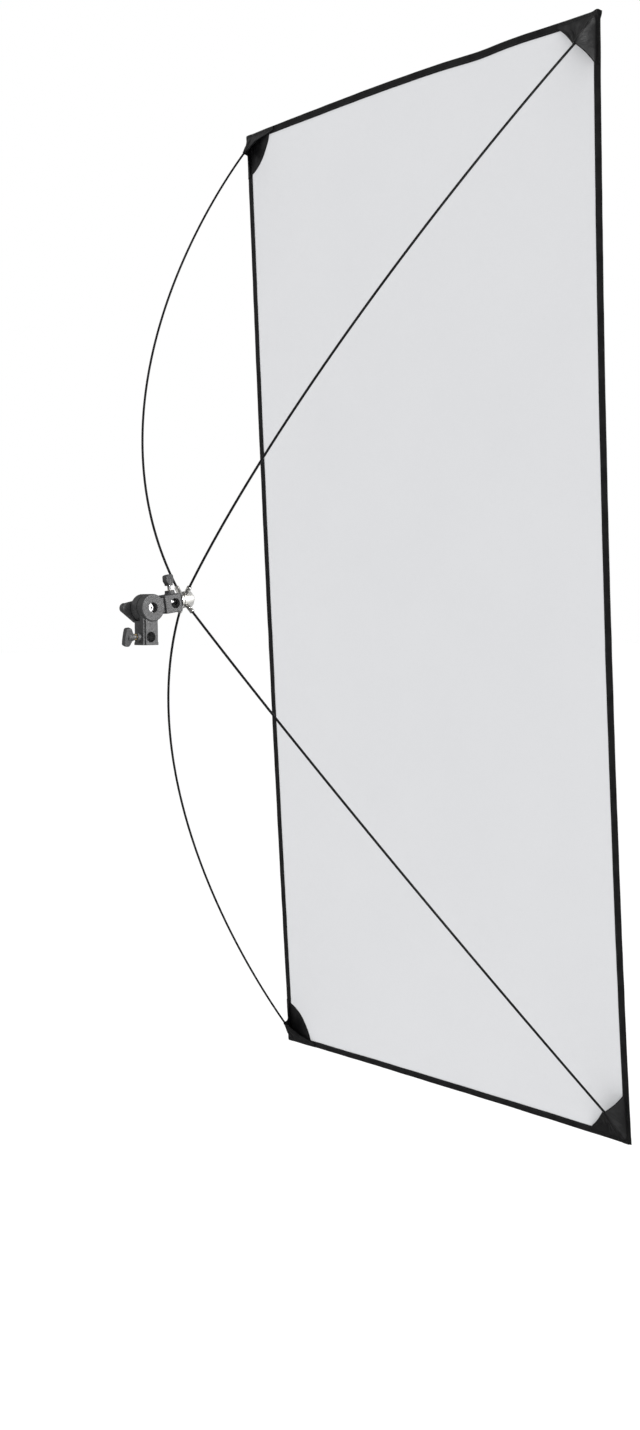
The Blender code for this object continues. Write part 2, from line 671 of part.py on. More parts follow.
def edge_rise(s, t):
    """How far the tensioned ends rise at s across and t up."""
    arch = 1 - s * s
    return arch * (TOP_BOW * ((1 + t) / 2) ** 2 + BOTTOM_BOW * ((1 - t) / 2) ** 2)


def stations(count):
    """Evenly spaced values from -1 to 1."""
    return [-1 + 2 * step / count for step in range(count + 1)]


def make_fabric(panel_frame):
    """The fabric as one thin closed sheet."""
    shape = bmesh.new()
    grid = {}
    for side in (-1, 1):
        for row, t in enumerate(stations(STATIONS_UP)):
            for column, s in enumerate(stations(STATIONS_ACROSS)):
                x = bow(t) + side * FABRIC_PLY / 2
                y = s * (half_width(t) - FABRIC_INSET)
                z = t * (PANEL_HEIGHT / 2 - FABRIC_INSET) + edge_rise(s, t)
                grid[side, row, column] = shape.verts.new((x, y, z))
    for side in (-1, 1):
        for row in range(STATIONS_UP):
            for column in range(STATIONS_ACROSS):
                corners = [(row, column), (row, column + 1), (row + 1, column + 1), (row + 1, column)]
                shape.faces.new([grid[side, *corner] for corner in corners])
    rim = [(0, column) for column in range(STATIONS_ACROSS)]
    rim += [(row, STATIONS_ACROSS) for row in range(STATIONS_UP)]
    rim += [(STATIONS_UP, column) for column in range(STATIONS_ACROSS, 0, -1)]
    rim += [(row, 0) for row in range(STATIONS_UP, 0, -1)]
    for here, after in zip(rim, rim[1:] + rim[:1], strict=True):
        shape.faces.new((grid[-1, *here], grid[-1, *after], grid[1, *after], grid[1, *here]))
    add_part("panel_fabric", shape, panel_frame, "fabric")


def hem_section():
    """Folded tape round the fabric's edge: distance inwards and distance along the normal."""
    slot = FABRIC_PLY / 2 + GAP
    outer = slot + HEM_PLY
    return [
        (0, -outer),
        (0, outer),
        (HEM_WIDTH, outer),
        (HEM_WIDTH, slot),
        (HEM_FOLD, slot),
        (HEM_FOLD, -slot),
        (HEM_WIDTH, -slot),
        (HEM_WIDTH, -outer),
    ]


def make_side_hem(name, side, panel_frame):
    """Binding along a long edge, full height."""
    rings = []
    for t in stations(STATIONS_UP):
        z = t * PANEL_HEIGHT / 2
        rings.append([(bow(t) + lift, side * (half_width(t) - inward), z) for inward, lift in hem_section()])
    add_part(name, loft(rings), panel_frame, "binding")


def make_end_hem(name, level, panel_frame):
    """Binding along the top or bottom edge, between the side bindings."""
    reach = PANEL_WIDTH / 2 - HEM_WIDTH - HEM_CORNER_GAP
    rings = []
    for s in stations(STATIONS_ACROSS):
        ring = []
        for inward, lift in hem_section():
            t = 1 - 2 * inward / PANEL_HEIGHT
            z = level * (PANEL_HEIGHT / 2 - inward) + edge_rise(s, level)
            ring.append((bow(t) + lift, s * reach, z))
        rings.append(ring)
    add_part(name, loft(rings), panel_frame, "binding")


def meet(planes):
    """The point where three planes, each a normal and a distance, meet."""
    rows = Matrix([normal for normal, _ in planes])
    return rows.inverted() @ Vector([distance for _, distance in planes])


def wall_plane(points, inside, ply):
    """Plane of three points, pushed a ply towards the inside point."""
    first, second, third = points
    normal = (second - first).cross(third - first).normalized()
    if normal.dot(inside - first) < 0:
        normal = -normal
    return normal, normal.dot(first) + ply


def pocket_corners(side, level, points):
    """Outer corners of a pocket: the panel's corner, two hem points and the lifted mouth."""
    corner = Vector((-POCKET_BACK, side * PANEL_WIDTH / 2, level * PANEL_HEIGHT / 2))
    across = corner - Vector((0, side * POCKET_LEG_ACROSS, 0))
    down = corner - Vector((POCKET_BACK_LOW - POCKET_BACK, side * EDGE_PULL / 6, level * POCKET_LEG_UP))
    end = points[-1]
    along = (end - points[-2]).normalized()
    crossing = end - POCKET_MOUTH_FROM_ROD_END * along
    outward = Vector((-1, 0, 0))
    outward = (outward - outward.dot(along) * along).normalized()
    return corner, across, down, crossing + POCKET_RIDGE_CLEARANCE * outward


def make_pocket(name, side, level, points, panel_frame):
    """Corner pocket as a thin tent with its mouth open towards the hub."""
    corner, across, down, ridge = pocket_corners(side, level, points)
    inside = (corner + across + down + ridge) / 4
    back = (corner, across, down)
    upper = (corner, across, ridge)
    outer = (corner, down, ridge)
    mouth = wall_plane((across, down, ridge), inside, 0)
    walls = [wall_plane(wall, inside, POCKET_PLY) for wall in (back, upper, outer)]
    shape = bmesh.new()
    outside = [shape.verts.new(point) for point in (corner, across, down, ridge)]
    inner_points = [
        meet(walls),
        meet([walls[0], walls[1], mouth]),
        meet([walls[0], walls[2], mouth]),
        meet([walls[1], walls[2], mouth]),
    ]
    inner = [shape.verts.new(point) for point in inner_points]
    for first, second, third in ((0, 2, 1), (0, 1, 3), (0, 3, 2)):
        shape.faces.new((outside[first], outside[second], outside[third]))
        shape.faces.new((inner[first], inner[third], inner[second]))
    for first, second in ((1, 3), (3, 2), (2, 1)):
        shape.faces.new((outside[first], inner[first], inner[second], outside[second]))
    add_part(name, shape, panel_frame, "nylon", smooth=20)


# ---------------------------------------------------------------- assembly


def build():
    """Make every sub-part on its own axis."""
    root = add_empty("stand_socket", Matrix.Identity(4))
    make_bracket_body(root)
    make_insert("lock_insert", root, (-(BOSS_END - INSERT_DEPTH + GAP), 0, LOCK_HEIGHT), ALONG_MINUS_X)
    make_tilt_bolt(root)
    make_friction_washer(root)
    make_tilt_lever()
    make_stud_lock()

    tilt_matrix = Matrix.Translation((PIVOT_REACH, 0, PIVOT_HEIGHT)) @ Matrix.Rotation(-ARM_TILT, 4, "Y")
    tilt_frame = add_empty("tilt_axis", tilt_matrix)
    make_arm_body(tilt_frame)
    make_insert("arm_insert", tilt_frame, (CLAMP_REACH, 0, COLLAR_TOP - INSERT_DEPTH + GAP), ALONG_Z)
    make_thumbscrew(tilt_frame)

    roll_matrix = Matrix.Translation((HUB_REACH, 0, HUB_RISE))
    roll_frame = add_empty("roll_axis", roll_matrix, tilt_frame)
    lean = Matrix.Rotation(ARM_TILT - PANEL_TILT, 4, "Y")
    hub_to_panel = Matrix.Translation((-PANEL_REACH, 0, PANEL_DROP)) @ lean.inverted()
    panel_to_hub = hub_to_panel.inverted()
    panel_frame = add_empty("panel_frame", panel_to_hub, roll_frame)

    rods = {}
    for level_name, level in LEVELS.items():
        for side_name, side in SIDES.items():
            rods[f"{level_name}_{side_name}"] = rod_centreline(side, level, hub_to_panel)
    make_hub(roll_frame, panel_to_hub, rods)
    make_fabric(panel_frame)
    for side_name, side in SIDES.items():
        make_side_hem(f"hem_{side_name}", side, panel_frame)
    for level_name, level in LEVELS.items():
        make_end_hem(f"hem_{level_name}", level, panel_frame)
        for side_name, side in SIDES.items():
            place = f"{level_name}_{side_name}"
            make_rod(f"rod_{place}", rods[place], panel_frame)
            make_ferrule(f"ferrule_{place}", rods[place], panel_frame)
            make_rod_tip(f"rod_tip_{place}", rods[place], panel_frame)
            make_pocket(f"pocket_{place}", side, level, rods[place], panel_frame)


clear_scene()
MATERIALS = make_materials()
build()
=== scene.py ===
"""Looks of the flat fabric panel on sprung rods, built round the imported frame."""

import json
import math
from functools import partial

import bmesh
import bpy
from mathutils import Matrix, Vector, noise


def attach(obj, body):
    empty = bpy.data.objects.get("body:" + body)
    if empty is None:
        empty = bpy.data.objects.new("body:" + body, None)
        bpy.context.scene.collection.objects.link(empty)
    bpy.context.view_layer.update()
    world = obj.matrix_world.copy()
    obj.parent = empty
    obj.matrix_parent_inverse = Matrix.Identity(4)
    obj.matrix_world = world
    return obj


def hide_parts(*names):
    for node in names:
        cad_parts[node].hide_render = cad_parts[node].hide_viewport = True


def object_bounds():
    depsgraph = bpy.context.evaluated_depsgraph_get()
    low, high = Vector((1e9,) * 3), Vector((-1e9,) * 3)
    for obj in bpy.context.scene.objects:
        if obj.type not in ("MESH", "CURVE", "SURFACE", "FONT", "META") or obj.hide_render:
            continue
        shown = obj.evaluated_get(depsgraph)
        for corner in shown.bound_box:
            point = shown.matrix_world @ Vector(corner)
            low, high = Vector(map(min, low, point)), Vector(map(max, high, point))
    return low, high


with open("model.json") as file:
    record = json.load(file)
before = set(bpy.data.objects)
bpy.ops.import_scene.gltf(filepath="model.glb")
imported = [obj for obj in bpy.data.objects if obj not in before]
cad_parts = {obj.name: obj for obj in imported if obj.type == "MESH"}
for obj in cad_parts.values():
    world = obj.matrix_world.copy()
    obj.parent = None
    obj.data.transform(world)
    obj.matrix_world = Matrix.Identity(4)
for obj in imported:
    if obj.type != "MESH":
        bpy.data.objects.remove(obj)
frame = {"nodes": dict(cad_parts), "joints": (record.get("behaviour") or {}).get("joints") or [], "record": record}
CAD_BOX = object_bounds()

MM = 0.001
CREASE = 40
LEVELS = {"top": 1, "bottom": -1}
SIDES = {"left": 1, "right": -1}

# ---- places, from the frame

JOINTS = {joint["name"]: joint for joint in frame["joints"]}
PIVOT = Vector(JOINTS["arm_tilt"]["pos_m"])
ARM_AXIS = Vector(JOINTS["head_roll"]["axis"]).normalized()
ARM_UP = ARM_AXIS.cross(Vector((0, 1, 0)))
ARM_FRAME = Matrix.Translation(PIVOT) @ Matrix((ARM_AXIS, (0, 1, 0), ARM_UP)).transposed().to_4x4()

# The panel stands from the hub as the CAD model's driving dimensions say.
HUB_REACH = 68.7 * MM
HUB_RISE = 3.0 * MM
PANEL_REACH = 521.5 * MM
PANEL_DROP = 22.8 * MM
PANEL_TILT = math.radians(2.67)
ARM_TILT = math.atan2(ARM_AXIS.z, ARM_AXIS.x)
HUB_FRAME = ARM_FRAME @ Matrix.Translation((HUB_REACH, 0, HUB_RISE))
HUB_ALONG = HUB_FRAME @ Matrix.Rotation(math.radians(90), 4, "Y")
LEAN = Matrix.Rotation(ARM_TILT - PANEL_TILT, 4, "Y")
HUB_TO_PANEL = Matrix.Translation((-PANEL_REACH, 0, PANEL_DROP)) @ LEAN.inverted()
PANEL_FRAME = HUB_FRAME @ HUB_TO_PANEL.inverted()

HALF_WIDTH = (CAD_BOX[1].y - CAD_BOX[0].y) / 2
HALF_HEIGHT = 2 * HALF_WIDTH
EDGE_PULL = 4.8 * MM
PANEL_BOW = 9.0 * MM
TOP_BOW = 6.0 * MM
BOTTOM_BOW = 2.0 * MM

# ---- small tools


def smooth_step(low, high, value):
    """0 below low, 1 above high, and smooth between."""
    share = min(1.0, max(0.0, (value - low) / (high - low)))
    return share * share * (3 - 2 * share)


def wander(*place):
    """Smooth noise from about -1 to 1 at a place of one to three numbers."""
    padded = (*place, 0.37, 0.71)[:3]
    return noise.noise(Vector(padded))


def add_object(name, data):
    """A new object in the scene."""
    obj = bpy.data.objects.new(name, data)
    bpy.context.scene.collection.objects.link(obj)
    return obj


def add_piece(name, mesh, material, body, home):
    """A mesh as a piece that rides on a body."""
    obj = add_object(name, mesh)
    obj.matrix_world = home
    mesh.materials.clear()
    mesh.materials.append(MATERIALS[material])
    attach(obj, body)
    return obj


def add_stand_in(name, mesh, home, node):
    """A piece in place of one CAD node, with that node's body and material slot in the record."""
    slot = next(part["material_slot"] for part in frame["record"]["subparts"] if part["node"] == node)
    body = next(body for body, nodes in frame["record"]["behaviour"]["bodies"].items() if node in nodes)
    obj = add_piece(name, mesh, slot, body, home)
    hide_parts(node)
    return obj


def shade(mesh, angle):
    """Smooth shading, with creases kept sharp beyond an angle in degrees."""
    mesh.shade_smooth()
    mesh.set_sharp_from_angle(angle=math.radians(angle))


def closed_mesh(name, shape):
    """The mesh of a closed bmesh shape, with its faces turned outwards."""
    bmesh.ops.recalc_face_normals(shape, faces=shape.faces)
    mesh = bpy.data.meshes.new(name)
    shape.to_mesh(mesh)
    shape.free()
    mesh.shade_smooth()
    return mesh


def grid_mesh(name, rows, columns, place, wrap=False, ends=False, angle=60):
    """Quads through place(row, column), which gives a point and its texture coordinates in metres.

    With wrap the last column joins the first, and with ends the first and last rows are filled.
    """
    width = columns if wrap else columns + 1
    points = []
    marks = []
    for row in range(rows + 1):
        line = [place(row, column) for column in range(columns + 1)]
        points += [tuple(point) for point, _ in line[:width]]
        marks.append([mark for _, mark in line])
    faces = []
    corners = []
    for row in range(rows):
        for column in range(columns):
            loop = [(row, column), (row, column + 1), (row + 1, column + 1), (row + 1, column)]
            faces.append([r * width + c % width for r, c in loop])
            corners += [marks[r][c] for r, c in loop]
    if ends:
        faces.append([column for column in reversed(range(width))])
        corners += [marks[0][column] for column in reversed(range(width))]
        faces.append([rows * width + column for column in range(width)])
        corners += [marks[rows][column] for column in range(width)]
    mesh = bpy.data.meshes.new(name)
    mesh.from_pydata(points, [], faces)
    layer = mesh.uv_layers.new(name="cloth")
    for target, mark in zip(layer.data, corners, strict=True):
        target.uv = mark
    shade(mesh, angle)
    return mesh


def turned(name, profile, steps):
    """Revolve a closed or axis-to-axis outline of (radius, height) points about Z."""
    closed = profile[0][0] > 0
    shape = bmesh.new()
    rings = []
    for radius, height in profile:
        if radius == 0:
            rings.append([shape.verts.new((0, 0, height))] * steps)
            continue
        ring = []
        for step in range(steps):
            turn = math.tau * step / steps
            ring.append(shape.verts.new((radius * math.cos(turn), radius * math.sin(turn), height)))
        rings.append(ring)
    if closed:
        rings.append(rings[0])
    for lower, upper in zip(rings, rings[1:], strict=False):
        for step in range(steps):
            after = (step + 1) % steps
            loop = [lower[step], lower[after], upper[after], upper[step]]
            shape.faces.new(list(dict.fromkeys(loop)))
    mesh = closed_mesh(name, shape)
    shade(mesh, CREASE)
    return mesh


def eased(profile, radius, steps=3):
    """Round the corners of an outline of (radius, height) points, except those on the axis."""
    made = []
    count = len(profile)
    for index, point in enumerate(profile):
        here = Vector(point)
        if point[0] == 0:
            made.append(point)
            continue
        before = Vector(profile[index - 1]) - here
        after = Vector(profile[(index + 1) % count]) - here
        room = min(radius, before.length / 2.2, after.length / 2.2)
        first = here + before.normalized() * room
        last = here + after.normalized() * room
        for step in range(steps + 1):
            t = step / steps
            made.append(tuple((1 - t) ** 2 * first + 2 * t * (1 - t) * here + t * t * last))
    return made


def distances(line):
    """How far along a line of points each of them lies."""
    travelled = [0.0]
    for before, after in zip(line, line[1:], strict=False):
        travelled.append(travelled[-1] + (after - before).length)
    return travelled


def points_at(line, places):
    """Points at rising distances along a dense line."""
    travelled = distances(line)
    index = 0
    made = []
    for place in places:
        while index < len(line) - 2 and travelled[index + 1] < place:
            index += 1
        share = (place - travelled[index]) / (travelled[index + 1] - travelled[index])
        made.append(line[index].lerp(line[index + 1], share))
    return made


def evenly(line, count):
    """Points at equal distances along a dense line."""
    length = distances(line)[-1]
    return points_at(line, [length * step / (count - 1) for step in range(count)])


def bake_modifiers(obj):
    """Apply an object's modifiers to its mesh."""
    graph = bpy.context.evaluated_depsgraph_get()
    mesh = bpy.data.meshes.new_from_object(obj.evaluated_get(graph))
    obj.modifiers.clear()
    obj.data = mesh
    return mesh


def thicken(obj, thickness):
    """Make a surface into a thin closed sheet."""
    shell = obj.modifiers.new("thickness", "SOLIDIFY")
    shell.thickness = thickness
    shell.offset = 0
    bake_modifiers(obj)


# ---- materials


class Finish:
    """A Principled material whose nodes are added a few at a time."""

    def __init__(self, name, roughness, metallic=0.0, coordinates="Object", **sockets):
        self.material = bpy.data.materials.new(name)
        self.material.use_nodes = True
        self.tree = self.material.node_tree
        self.shader = self.tree.nodes["Principled BSDF"]
        self.shader.inputs["Roughness"].default_value = roughness
        self.shader.inputs["Metallic"].default_value = metallic
        for socket, value in sockets.items():
            self.shader.inputs[socket.replace("_", " ")].default_value = value
        self.place = self.add("ShaderNodeTexCoord").outputs[coordinates]

    def add(self, kind, **settings):
        node = self.tree.nodes.new(kind)
        for key, value in settings.items():
            setattr(node, key, value)
        return node

    def join(self, source, target):
        self.tree.links.new(source, target)

    def stretched(self, scale):
        """The coordinates times a scale for each axis."""
        mapping = self.add("ShaderNodeMapping", vector_type="POINT")
        mapping.inputs["Scale"].default_value = scale
        self.join(self.place, mapping.inputs["Vector"])
        return mapping.outputs["Vector"]

    def noise(self, scale, detail=3.0, place=None):
        node = self.add("ShaderNodeTexNoise")
        node.inputs["Scale"].default_value = scale
        node.inputs["Detail"].default_value = detail
        self.join(place or self.place, node.inputs["Vector"])
        return node.outputs["Fac"]

    def wave(self, pitch, axis, place=None):
        """Bands with a pitch in metres along X or Y."""
        node = self.add("ShaderNodeTexWave", bands_direction=axis, wave_profile="SIN")
        node.inputs["Scale"].default_value = math.pi / (10 * pitch)
        self.join(place or self.place, node.inputs["Vector"])
        return node.outputs["Fac"]

    def maths(self, operation, first, second):
        node = self.add("ShaderNodeMath", operation=operation)
        for socket, value in zip(node.inputs, (first, second), strict=False):
            if isinstance(value, (int, float)):
                socket.default_value = value
            else:
                self.join(value, socket)
        return node.outputs[0]

    def between(self, factor, low, high, start=0.35, end=0.65):
        """A value or colour from low to high as the factor goes from start to end."""
        node = self.add("ShaderNodeValToRGB")
        stops = node.color_ramp.elements
        for stop, position, value in zip(stops, (start, end), (low, high), strict=True):
            stop.position = position
            stop.color = (*value, 1.0) if isinstance(value, tuple) else (value, value, value, 1.0)
        self.join(factor, node.inputs["Fac"])
        return node.outputs["Color"]

    def multiplied(self, first, second):
        """The product of two colours."""
        node = self.add("ShaderNodeMix", data_type="RGBA", blend_type="MULTIPLY")
        node.inputs["Factor"].default_value = 1.0
        self.join(first, node.inputs["A"])
        self.join(second, node.inputs["B"])
        return node.outputs["Result"]

    def colour(self, source):
        self.join(source, self.shader.inputs["Base Color"])

    def roughness(self, source):
        self.join(source, self.shader.inputs["Roughness"])

    def bump(self, *layers):
        """Stack bumps, each a height, a depth in metres and a strength."""
        normal = None
        for height, depth, strength in layers:
            node = self.add("ShaderNodeBump")
            node.inputs["Distance"].default_value = depth
            node.inputs["Strength"].default_value = strength
            self.join(height, node.inputs["Height"])
            if normal is not None:
                self.join(normal, node.inputs["Normal"])
            normal = node.outputs["Normal"]
        self.join(normal, self.shader.inputs["Normal"])


def moulding_finish():
    """Matt dark grey plastic with a coarse spark-eroded grain and paler rubbed edges."""
    finish = Finish("moulded_plastic", 0.55, Specular_IOR_Level=0.42)
    blotch = finish.between(finish.noise(70, 3), (0.033, 0.033, 0.034), (0.043, 0.043, 0.044))
    speck = finish.between(finish.noise(620, 2), (0.80, 0.80, 0.80), (1.22, 1.22, 1.22), 0.36, 0.66)
    pointed = finish.add("ShaderNodeNewGeometry").outputs["Pointiness"]
    worn = finish.between(pointed, 0.0, 1.0, 0.53, 0.62)
    mix = finish.add("ShaderNodeMix", data_type="RGBA")
    mix.inputs["B"].default_value = (0.075, 0.075, 0.076, 1)
    finish.join(finish.multiplied(blotch, speck), mix.inputs["A"])
    finish.join(finish.maths("MULTIPLY", worn, finish.noise(700, 3)), mix.inputs["Factor"])
    finish.colour(mix.outputs["Result"])
    finish.roughness(finish.between(finish.noise(400, 4), 0.46, 0.66))
    grain = finish.noise(900, 3)
    pit = finish.between(finish.noise(2400, 2), 0.0, 1.0, 0.42, 0.6)
    finish.bump((grain, 0.22 * MM, 0.75), (pit, 0.05 * MM, 0.5))
    return finish.material


def metal_finish(name, colour, tarnish, roughness, lines):
    """Turned or plated metal: fine tool marks round the axis and slight staining."""
    pitch = 0.16 * MM
    finish = Finish(name, roughness, 1.0)
    finish.colour(finish.between(finish.noise(160, 4), tarnish, colour, 0.3, 0.6))
    marks = finish.noise(1.0, 2, finish.stretched((60, 60, 1 / pitch)))
    finish.roughness(finish.between(marks, roughness * 0.75, roughness * 1.35, 0.3, 0.7))
    finish.bump((marks, 0.012 * MM, lines), (finish.noise(900, 3), 0.02 * MM, 0.15))
    return finish.material


def rubber_finish():
    """Soft black rubber with a dusty bloom."""
    finish = Finish("rubber", 0.8, Specular_IOR_Level=0.3)
    finish.colour(finish.between(finish.noise(260, 5), (0.010, 0.010, 0.011), (0.022, 0.022, 0.023)))
    finish.bump((finish.noise(1500, 3), 0.05 * MM, 0.4))
    return finish.material


def fibreglass_finish():
    """Black pultruded rod: glossy, with long fine fibre lines."""
    finish = Finish("fibreglass", 0.4, coordinates="UV", Specular_IOR_Level=0.13)
    streaks = finish.noise(1.0, 3, finish.stretched((2600, 9, 1)))
    finish.colour(finish.between(streaks, (0.0035, 0.0035, 0.004), (0.009, 0.009, 0.0095), 0.3, 0.7))
    finish.roughness(finish.between(streaks, 0.28, 0.46, 0.3, 0.7))
    finish.bump((streaks, 0.02 * MM, 0.5), (finish.noise(700, 3), 0.02 * MM, 0.2))
    return finish.material


def nylon_finish():
    """Black coated nylon: a close weave with a reinforcing grid, crushed a little, with a soft sheen."""
    sheen = {"Sheen_Weight": 0.03, "Sheen_Roughness": 0.35, "Sheen_Tint": (0.5, 0.5, 0.47, 1)}
    finish = Finish("coated_nylon", 0.46, coordinates="UV", Specular_IOR_Level=0.27, **sheen)
    finish.colour(finish.between(finish.noise(70, 5), (0.004, 0.004, 0.0045), (0.009, 0.009, 0.0095)))
    weave = finish.maths("MULTIPLY", finish.wave(0.00055, "X"), finish.wave(0.00055, "Y"))
    rib = finish.maths("MAXIMUM", finish.wave(0.005, "X"), finish.wave(0.005, "Y"))
    rib = finish.between(rib, 0.0, 1.0, 0.965, 0.99)
    crush = finish.noise(110, 4)
    finish.roughness(finish.between(crush, 0.34, 0.54))
    finish.bump((crush, 1.0 * MM, 0.4), (weave, 0.07 * MM, 0.4), (rib, 0.05 * MM, 0.35))
    return finish.material


def tape_finish():
    """Black woven tape: ribs across its width and a slightly dusty face."""
    sheen = {"Sheen_Weight": 0.04, "Sheen_Roughness": 0.5, "Sheen_Tint": (0.45, 0.45, 0.47, 1)}
    finish = Finish("woven_tape", 0.78, coordinates="UV", Specular_IOR_Level=0.25, **sheen)
    finish.colour(finish.between(finish.noise(45, 5), (0.0045, 0.0045, 0.005), (0.010, 0.010, 0.0105)))
    ribs = finish.wave(0.0009, "Y")
    yarn = finish.noise(1.0, 2, finish.stretched((1500, 500, 1)))
    finish.bump((ribs, 0.13 * MM, 0.7), (yarn, 0.08 * MM, 0.5), (finish.noise(90, 3), 0.8 * MM, 0.25))
    return finish.material


def thread_finish():
    """Black sewing thread: two twisted plies with a waxed gleam."""
    finish = Finish("thread", 0.5, Specular_IOR_Level=0.4, Sheen_Weight=0.1)
    finish.colour(finish.between(finish.noise(900, 3), (0.010, 0.010, 0.011), (0.024, 0.024, 0.026)))
    finish.bump((finish.noise(5200, 2), 0.06 * MM, 0.6))
    return finish.material


def fabric_finish():
    """Cool white cloth: plain weave with slubs, very even from afar."""
    finish = Finish("white_cloth", 0.9, coordinates="UV", Sheen_Weight=0.08, Sheen_Roughness=0.6)
    cloud = finish.between(finish.noise(5, 4), (0.706, 0.712, 0.729), (0.718, 0.724, 0.740), 0.3, 0.7)
    slub = finish.noise(1.0, 3, finish.stretched((70, 1600, 1)))
    warp = finish.noise(1.0, 3, finish.stretched((1600, 70, 1)))
    thread = finish.maths("MULTIPLY", finish.wave(0.0007, "X"), finish.wave(0.0007, "Y"))
    yarn = finish.maths("ADD", slub, warp)
    finish.colour(finish.multiplied(cloud, finish.between(yarn, 0.972, 1.0, 0.7, 1.0)))
    finish.bump((yarn, 0.06 * MM, 0.5), (thread, 0.08 * MM, 0.4))
    return finish.material


MATERIALS = {
    "moulding": moulding_finish(),
    "chrome": metal_finish("chrome", (0.82, 0.82, 0.83), (0.74, 0.74, 0.75), 0.13, 0.15),
    "nickel": metal_finish("nickel", (0.72, 0.71, 0.68), (0.60, 0.59, 0.56), 0.24, 0.5),
    "brass": metal_finish("brass", (0.74, 0.55, 0.26), (0.58, 0.42, 0.19), 0.30, 0.5),
    "steel": metal_finish("steel", (0.52, 0.52, 0.53), (0.40, 0.40, 0.41), 0.34, 0.4),
    "rubber": rubber_finish(),
    "fibreglass": fibreglass_finish(),
    "nylon": nylon_finish(),
    "binding": tape_finish(),
    "thread": thread_finish(),
    "fabric": fabric_finish(),
}

# ---- the stretched panel

HEM_WIDTH = 13 * MM
CLOTH_THICKNESS = 0.5 * MM
CLOTH_INSET = 1.5 * MM
TAPE_END_INSET = 1.6 * MM
TAPE_FOLD = 1.2 * MM
TAPE_GAP = 0.33 * MM
TAPE_OVERLAP = 16 * MM
STITCH_LINE = 0.80


def half_width(t):
    """Half the panel's width at height t, from -1 at the bottom to 1 at the top."""
    return HALF_WIDTH - EDGE_PULL * (1 - t * t)


def bow(t):
    """How far the panel leans towards the hub at height t."""
    return -PANEL_BOW * (1 - t * t)


def edge_rise(s, t):
    """How far the tensioned ends rise at s across and t up."""
    arch = 1 - s * s
    return arch * (TOP_BOW * ((1 + t) / 2) ** 2 + BOTTOM_BOW * ((1 - t) / 2) ** 2)


def ripple(y, z):
    """How far the cloth stands off its smooth curve: draw lines, corner pulls and puckers at the tape."""
    side = HALF_WIDTH - abs(y)
    end = HALF_HEIGHT - abs(z)
    open_cloth = smooth_step(0, 0.10, min(side, end))
    lift = 0.9 * MM * open_cloth * wander(y * 5.5 + 3, z * 1.3)
    pucker = 0.55 * MM * math.exp(-side / 0.030) * wander(z * 30, 4.2)
    pucker += 0.75 * MM * math.exp(-end / 0.034) * wander(y * 30, 8.5)
    reach = math.hypot(side, end)
    turn = math.atan2(end, side)
    fan = wander(turn * 7.5, math.copysign(3, y), math.copysign(5, z))
    pull = 1.5 * MM * fan * smooth_step(0.05, 0.14, reach) * math.exp(-reach / 0.20)
    return lift + pucker + pull


def wave_up(s, t):
    """Small unevenness of the top and bottom edges in the panel's plane."""
    share = abs(t) ** 12
    dip = 2.6 * MM * math.exp(-(((s + 0.42) / 0.12) ** 2)) if t > 0 else 0.0
    return share * (0.8 * MM * wander(s * 5.2 + 7 * math.copysign(1, t), 1.7) - dip)


def cloth_point(s, t):
    """A point of the cloth at s across and t up."""
    y = s * (half_width(t) - CLOTH_INSET)
    z = t * (HALF_HEIGHT - CLOTH_INSET)
    return Vector((bow(t) + ripple(y, z), y, z + edge_rise(s, t) + wave_up(s, t)))


def add_cloth():
    """The cloth itself, as a thin closed sheet with more columns towards its sides."""
    rows = 260
    columns = 96
    spread = 1.42

    def place(row, column):
        s = math.sin(spread * (-1 + 2 * column / columns)) / math.sin(spread)
        point = cloth_point(s, -1 + 2 * row / rows)
        return point, (point.y, point.z)

    mesh = grid_mesh("cloth", rows, columns, place)
    cloth = add_stand_in("cloth", mesh, PANEL_FRAME, "panel_fabric")
    thicken(cloth, CLOTH_THICKNESS)


def tape_section(inner, outer, width):
    """Folded tape across its width: distance inwards, and lift off the cloth's middle."""
    section = [(width, -inner), (TAPE_FOLD, -inner), (TAPE_FOLD, inner), (width, inner)]
    section += [(width + 0.25 * MM, (inner + outer) / 2), (width, outer)]
    section += [(share * width, outer) for share in (0.84, 0.72, 0.5, 0.3)]
    centre = outer * 0.9
    for step in range(7):
        angle = math.pi * step / 6
        section.append((centre - centre * math.sin(angle), outer * math.cos(angle)))
    section += [(share * width, -outer) for share in (0.3, 0.5, 0.72, 0.84)]
    section += [(width, -outer), (width + 0.25 * MM, -(inner + outer) / 2)]
    return section


def pressed(share, outer):
    """The stitching draws the tape down along its line."""
    dip = math.exp(-(((share - STITCH_LINE) / 0.09) ** 2))
    return outer * (1 - 0.22 * dip)


def tape_width(place, seed):
    """A tape's width, which wanders along its edge."""
    return HEM_WIDTH * (1 + 0.035 * wander(place * 9, seed))


def near_side(s, far, near):
    """0 to 1 as s across comes from far to near, two distances from the panel's side."""
    return smooth_step(HALF_WIDTH - far, HALF_WIDTH - near, abs(s) * HALF_WIDTH)


def side_tape_point(side, t, inward, lift):
    """A point of a long edge's tape."""
    y = side * (half_width(t) - inward)
    z = t * (HALF_HEIGHT - TAPE_END_INSET)
    return Vector((bow(t) + ripple(y, z) + lift, y, z))


